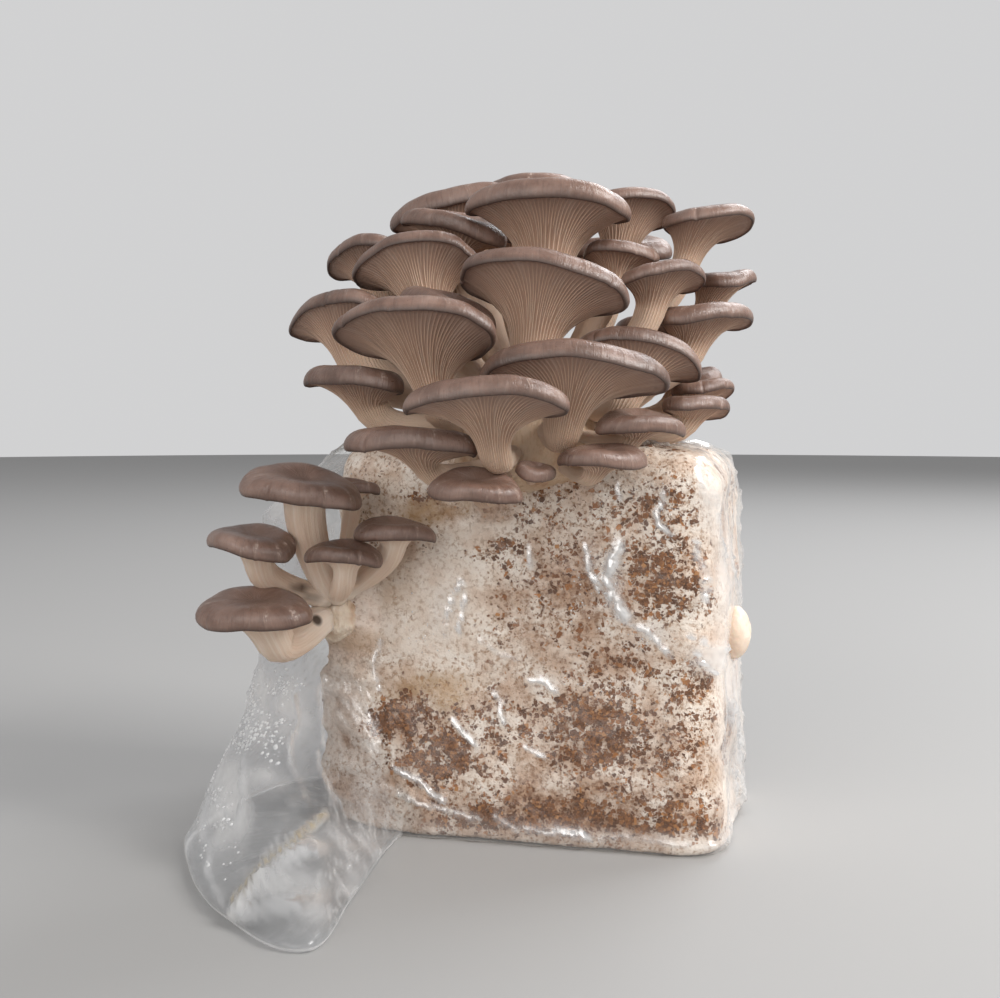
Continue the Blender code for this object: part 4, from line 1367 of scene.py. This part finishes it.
def gill_depth(run, width):
    """How deep the gills are cut at each row, in mm."""
    deepest = 0.4 + 0.007 * width
    onto_stem = smooth_step(0.5, 1.0, run) * 0.5 + smooth_step(1.0, 1.4, run) * 0.5
    return deepest * onto_stem * smooth_step(1.945, 1.80, run)


# dark bruises on the side cluster, placed like the block's patches, and in metres a dark spot
# painted as the shade of a small hole
BRUISES = ((301, 588, 9, 5, 0.9), (312, 597, 7, 5, 0.6))
HOLE_SHADE_SPOT = (-0.098, -0.082, 0.108)


def grow_mushroom(name, spec, bulb, habit, seed, material):
    """One mushroom, carved and finished."""
    width, depth = spec[2:4]
    skin_cover = habit[5]
    rim = math.pi * (width + depth) / 2.0
    gills = max(24, 2 * round(rim / GILL_SPACING / 2.0))
    columns = gills * COLUMNS_PER_GILL
    angles = 2.0 * math.pi * np.arange(columns) / columns
    places, run = mushroom_places(spec, bulb, habit, angles, seed)
    run = run - skin_cover * smooth_step(0.6, 1.2, run) * smooth_step(GILLS_END, 1.5, run)
    ridge, crest = gill_ridges(angles, run, gills, seed)
    cut = gill_depth(run, width)[:, None] * (1.0 - ridge)
    places = places - surface_normals(places) * cut[..., None]
    runs = np.repeat(run[:, None], columns, axis=1)
    bruise = patch_cover(*picture_place(places.reshape(-1, 3)), BRUISES).reshape(runs.shape)
    piece = rolled_grid(name, places * MM, {
        "growth": np.stack([np.cos(crest), np.sin(crest), runs], -1),
        "ridge": ridge,
        "gills": np.full(runs.shape, float(gills)),
        "bruise": bruise * (skin_cover > 0.0),
        # the main cluster's lower stems: painted shade inside the cluster
        "cluster_painted_shade": smooth_step(1.3, 0.7, runs) * (skin_cover == 0.0),
    })
    return finish_piece(piece, material, "mushroom_flesh", name.replace("oyster_", ""))


print("gill depth on an 80 mm cap:", round(float(gill_depth(np.array([1.6]), 80.0)[0]), 2), "mm")


# %% [markdown]
# ## Mushroom flesh
# One material covers stem, gills and cap, because they are one piece.  The row number, stored in
# the attribute `growth`, says which of them a point belongs to.  Its other two numbers go round
# the mushroom: noise stretched along the rows gives fibres on the cap and stem, and the
# angle times the number of gills draws each gill's thin edge.

# %% Mushroom material
def mushroom_material():
    paint = Paint("oyster_mushroom_flesh")
    growth = paint.attribute("growth", "Vector")
    across = paint.node("SeparateXYZ", {"Vector": growth}, "X")
    run = across.twin("Z")
    turn = paint.maths("ARCTAN2", across.twin("Y"), across) * paint.attribute("gills")
    coarse_fibre = paint.grain(1.0, 4.0, 0.6, place=paint.stretched(growth, (6.0, 6.0, 1.4)))
    fine_fibre = paint.grain(1.0, 3.0, 0.6, place=paint.stretched(growth, (42.0, 42.0, 2.6)))
    mottle = paint.grain(45.0, 4.0, 0.6)
    speck = paint.grain(620.0, 3.0, 0.6)
    pores = paint.grain(1700.0, 2.0, 0.6)

    cap = mottle.ramp(
        (0.30, (0.125, 0.070, 0.050)), (0.45, (0.180, 0.104, 0.077)), (0.58, (0.245, 0.150, 0.115)),
        (0.74, (0.330, 0.219, 0.176)),
    )
    near_rim = run.fade(2.05, 2.2) * run.fade(2.7, 2.35)
    # lighter flecks near the rim: partly worn skin, partly painted sheen
    scuff_and_sheen = coarse_fibre.fade(0.58, 0.68) * speck.fade(0.45, 0.62) * near_rim
    for share, shade in (
        (coarse_fibre.fade(0.45, 0.70) * 0.32, (0.33, 0.225, 0.18)),
        (fine_fibre.fade(0.52, 0.30) * 0.30, (0.105, 0.061, 0.045)),
        (speck.fade(0.60, 0.75) * 0.25, (0.30, 0.21, 0.17)),
        (scuff_and_sheen * 0.75, (0.52, 0.41, 0.35)),
        (run.fade(2.075, 2.0), (0.070, 0.039, 0.028)),
    ):
        cap = paint.mix(share, cap, shade)

    # the gills darken from the stem towards the rim, and their valleys are darker than their
    # crests: painted shade under the cap
    along_gills = paint.node("MapRange", {"Value": run, "From Min": 0.9, "From Max": 1.95})
    crest = along_gills.ramp(
        (0.0, (0.84, 0.65, 0.51)), (0.30, (0.78, 0.57, 0.43)), (0.65, (0.60, 0.395, 0.285)),
        (1.0, (0.37, 0.235, 0.17)),
    )
    valley = along_gills.ramp(
        (0.0, (0.62, 0.435, 0.31)), (0.30, (0.44, 0.28, 0.195)), (0.65, (0.33, 0.205, 0.145)),
        (1.0, (0.235, 0.148, 0.112)),
    )
    edge_line = paint.maths("COSINE", turn).fade(-0.1, 0.95)
    short_line = paint.maths("COSINE", turn * 2.0).fade(0.0, 0.95)
    thin_edges = edge_line * paint.attribute("ridge").fade(0.0, 0.45)
    gill_edge = paint.maths("MAXIMUM", thin_edges, run.fade(1.45, 1.75) * (short_line * 0.35))
    gill_edge = gill_edge * run.fade(2.15, 1.35)
    gills = paint.mix(gill_edge, valley, crest)
    gills = paint.mix(coarse_fibre.fade(0.50, 0.35) * 0.30, gills, (0.38, 0.27, 0.21))

    color = coarse_fibre.ramp(
        (0.3, (0.71, 0.53, 0.40)), (0.5, (0.80, 0.64, 0.51)), (0.7, (0.87, 0.75, 0.64)),
    )
    ends = {0: paint.place, 1: HOLE_SHADE_SPOT}
    spot_away = paint.node("VectorMath", ends, "Value", operation="DISTANCE")
    for share, shade in (
        (fine_fibre.fade(0.48, 0.32) * 0.22, (0.54, 0.39, 0.28)),
        # stems turn tan towards the cap: partly their own colour, partly painted shade under the
        # cap
        (run.fade(0.25, 0.95) * 0.75, (0.68, 0.475, 0.35)),
        (run.fade(0.5, 0.0) * 0.7, (0.90, 0.80, 0.70)),
        # darker stems low in the main cluster: painted shade between the caps
        (paint.attribute("cluster_painted_shade") * 0.8, (0.55, 0.40, 0.295)),
        (run.fade(0.75, 1.1), gills),
        (paint.attribute("bruise"), (0.085, 0.045, 0.025)),
        # a dark spot: painted shade of a small hole by the side cluster's foot
        (spot_away.fade(0.0040, 0.0022), (0.085, 0.055, 0.038)),
        (run.fade(1.93, 1.98), cap),
    ):
        color = paint.mix(share, color, shade)

    relief = fine_fibre * 0.45 + speck * 0.35 + coarse_fibre * 0.9 + pores * 0.12
    on_gills = run.fade(1.95, 1.88) * run.fade(0.7, 1.1)
    cap_rough = speck.ramp((0.3, 0.27), (0.7, 0.44))
    return paint.finish({
        "Base Color": color,
        "Roughness": paint.mix(run.fade(1.96, 2.05), (0.85, 0.85, 0.85), cap_rough),
        "Normal": paint.bump(relief + gill_edge * on_gills * 0.7, 0.0008, 0.7),
        "Specular IOR Level": 0.75, **soft_tissue(0.10, 0.004, (1.0, 0.45, 0.25)),
    })


flesh = mushroom_material()
print("mushroom material nodes:", len(flesh.node_tree.nodes))

# %% Grow both clusters
for seed, spec in enumerate(MAIN_MUSHROOMS):
    habit = BACK_HABIT if spec[1][1] > BACK_BEHIND else MAIN_HABIT
    habit = FRONT_HABIT if spec[1][1] < FRONT_BEFORE else habit
    grow_mushroom("oyster_mushroom_" + spec[0], spec, MAIN_BASE, habit, seed, flesh)
for seed, spec in enumerate(SIDE_MUSHROOMS):
    grow_mushroom("oyster_side_mushroom_" + spec[0], spec, SIDE_BASE, SIDE_HABIT, seed + 50, flesh)
grown = [piece for piece in bpy.data.objects if piece.name.startswith("oyster_")]
print("grown:", len(grown), "with", sum(len(piece.data.polygons) for piece in grown), "faces")

# %% [markdown]
# ## Water beads
# Moisture from the block condenses on the film in beads up to three millimetres across.  One
# bead is a flattened icosphere, copied over the film where the photograph shows them and joined.

# %% Water beads
# centre and spread in the photograph's pixels, number of beads, largest radius in mm
BEAD_PATCHES = (
    (253, 690, 3, 9, 40, 1.3), (252, 722, 6, 10, 70, 1.6), (240, 742, 7, 6, 60, 1.5),
    (284, 686, 9, 7, 70, 1.2), (277, 738, 6, 12, 40, 1.5), (264, 730, 3, 13, 34, 1.3),
    (208, 765, 3, 10, 20, 1.2), (220, 800, 6, 12, 40, 1.4), (226, 822, 5, 5, 20, 1.4),
    (202, 850, 3, 14, 22, 1.0), (232, 850, 10, 14, 16, 0.8), (300, 480, 20, 10, 24, 0.7),
    (603, 585, 7, 16, 40, 0.7), (578, 605, 9, 14, 26, 0.6), (640, 638, 12, 8, 24, 0.6),
    (432, 630, 14, 20, 26, 0.6), (556, 690, 26, 8, 20, 0.6), (668, 500, 12, 20, 16, 0.5),
)
bpy.ops.object.select_all(action="DESELECT")
bpy.ops.mesh.primitive_ico_sphere_add(subdivisions=1, radius=1.0)
bead_source = bpy.context.object
bead_ball = read_places(bead_source) * np.array((1.0, 1.0, 0.55))
bead_faces = np.array([list(face.vertices) for face in bead_source.data.polygons])
bpy.data.objects.remove(bead_source, do_unlink=True)
beaded = (film_front > 0.5) & ((loose > 0.5) | (loose < 0.1)) & (film_now[:, 2] > 10.0)
beaded_places, beaded_out = film_now[beaded], film_out[beaded]
beaded_x, beaded_y = picture_place(beaded_places)
drops = random.Random(3)
bead_places = []
for centre_x, centre_y, spread_x, spread_y, count, largest in BEAD_PATCHES:
    for _ in range(count):
        target_x, target_y = drops.gauss(centre_x, spread_x), drops.gauss(centre_y, spread_y)
        nearest = int(np.argmin(np.hypot(beaded_x - target_x, beaded_y - target_y)))
        radius = largest * drops.uniform(0.25, 1.0) ** 1.5
        out = beaded_out[nearest]
        first = unit(np.cross(out, UP))
        second = np.cross(out, first)
        spot = beaded_places[nearest] + first * drops.uniform(-1, 1) + second * drops.uniform(-1, 1)
        bead_places.append(spot + bead_ball * radius @ np.array((first, second, out)))
beads = joined_copies("water_beads", bead_faces, bead_places)


def bead_material():
    paint = Paint("water_bead")
    return paint.finish({
        "Base Color": paint.grain(700.0).ramp((0.3, (0.93, 0.94, 0.95)), (0.7, (1.0, 1.0, 1.0))),
        "Roughness": 0.03, "IOR": 1.33, "Alpha": 0.45, "Specular IOR Level": 0.9,
    })


finish_piece(beads, bead_material(), "water_droplets")
print("beads:", len(bead_places))
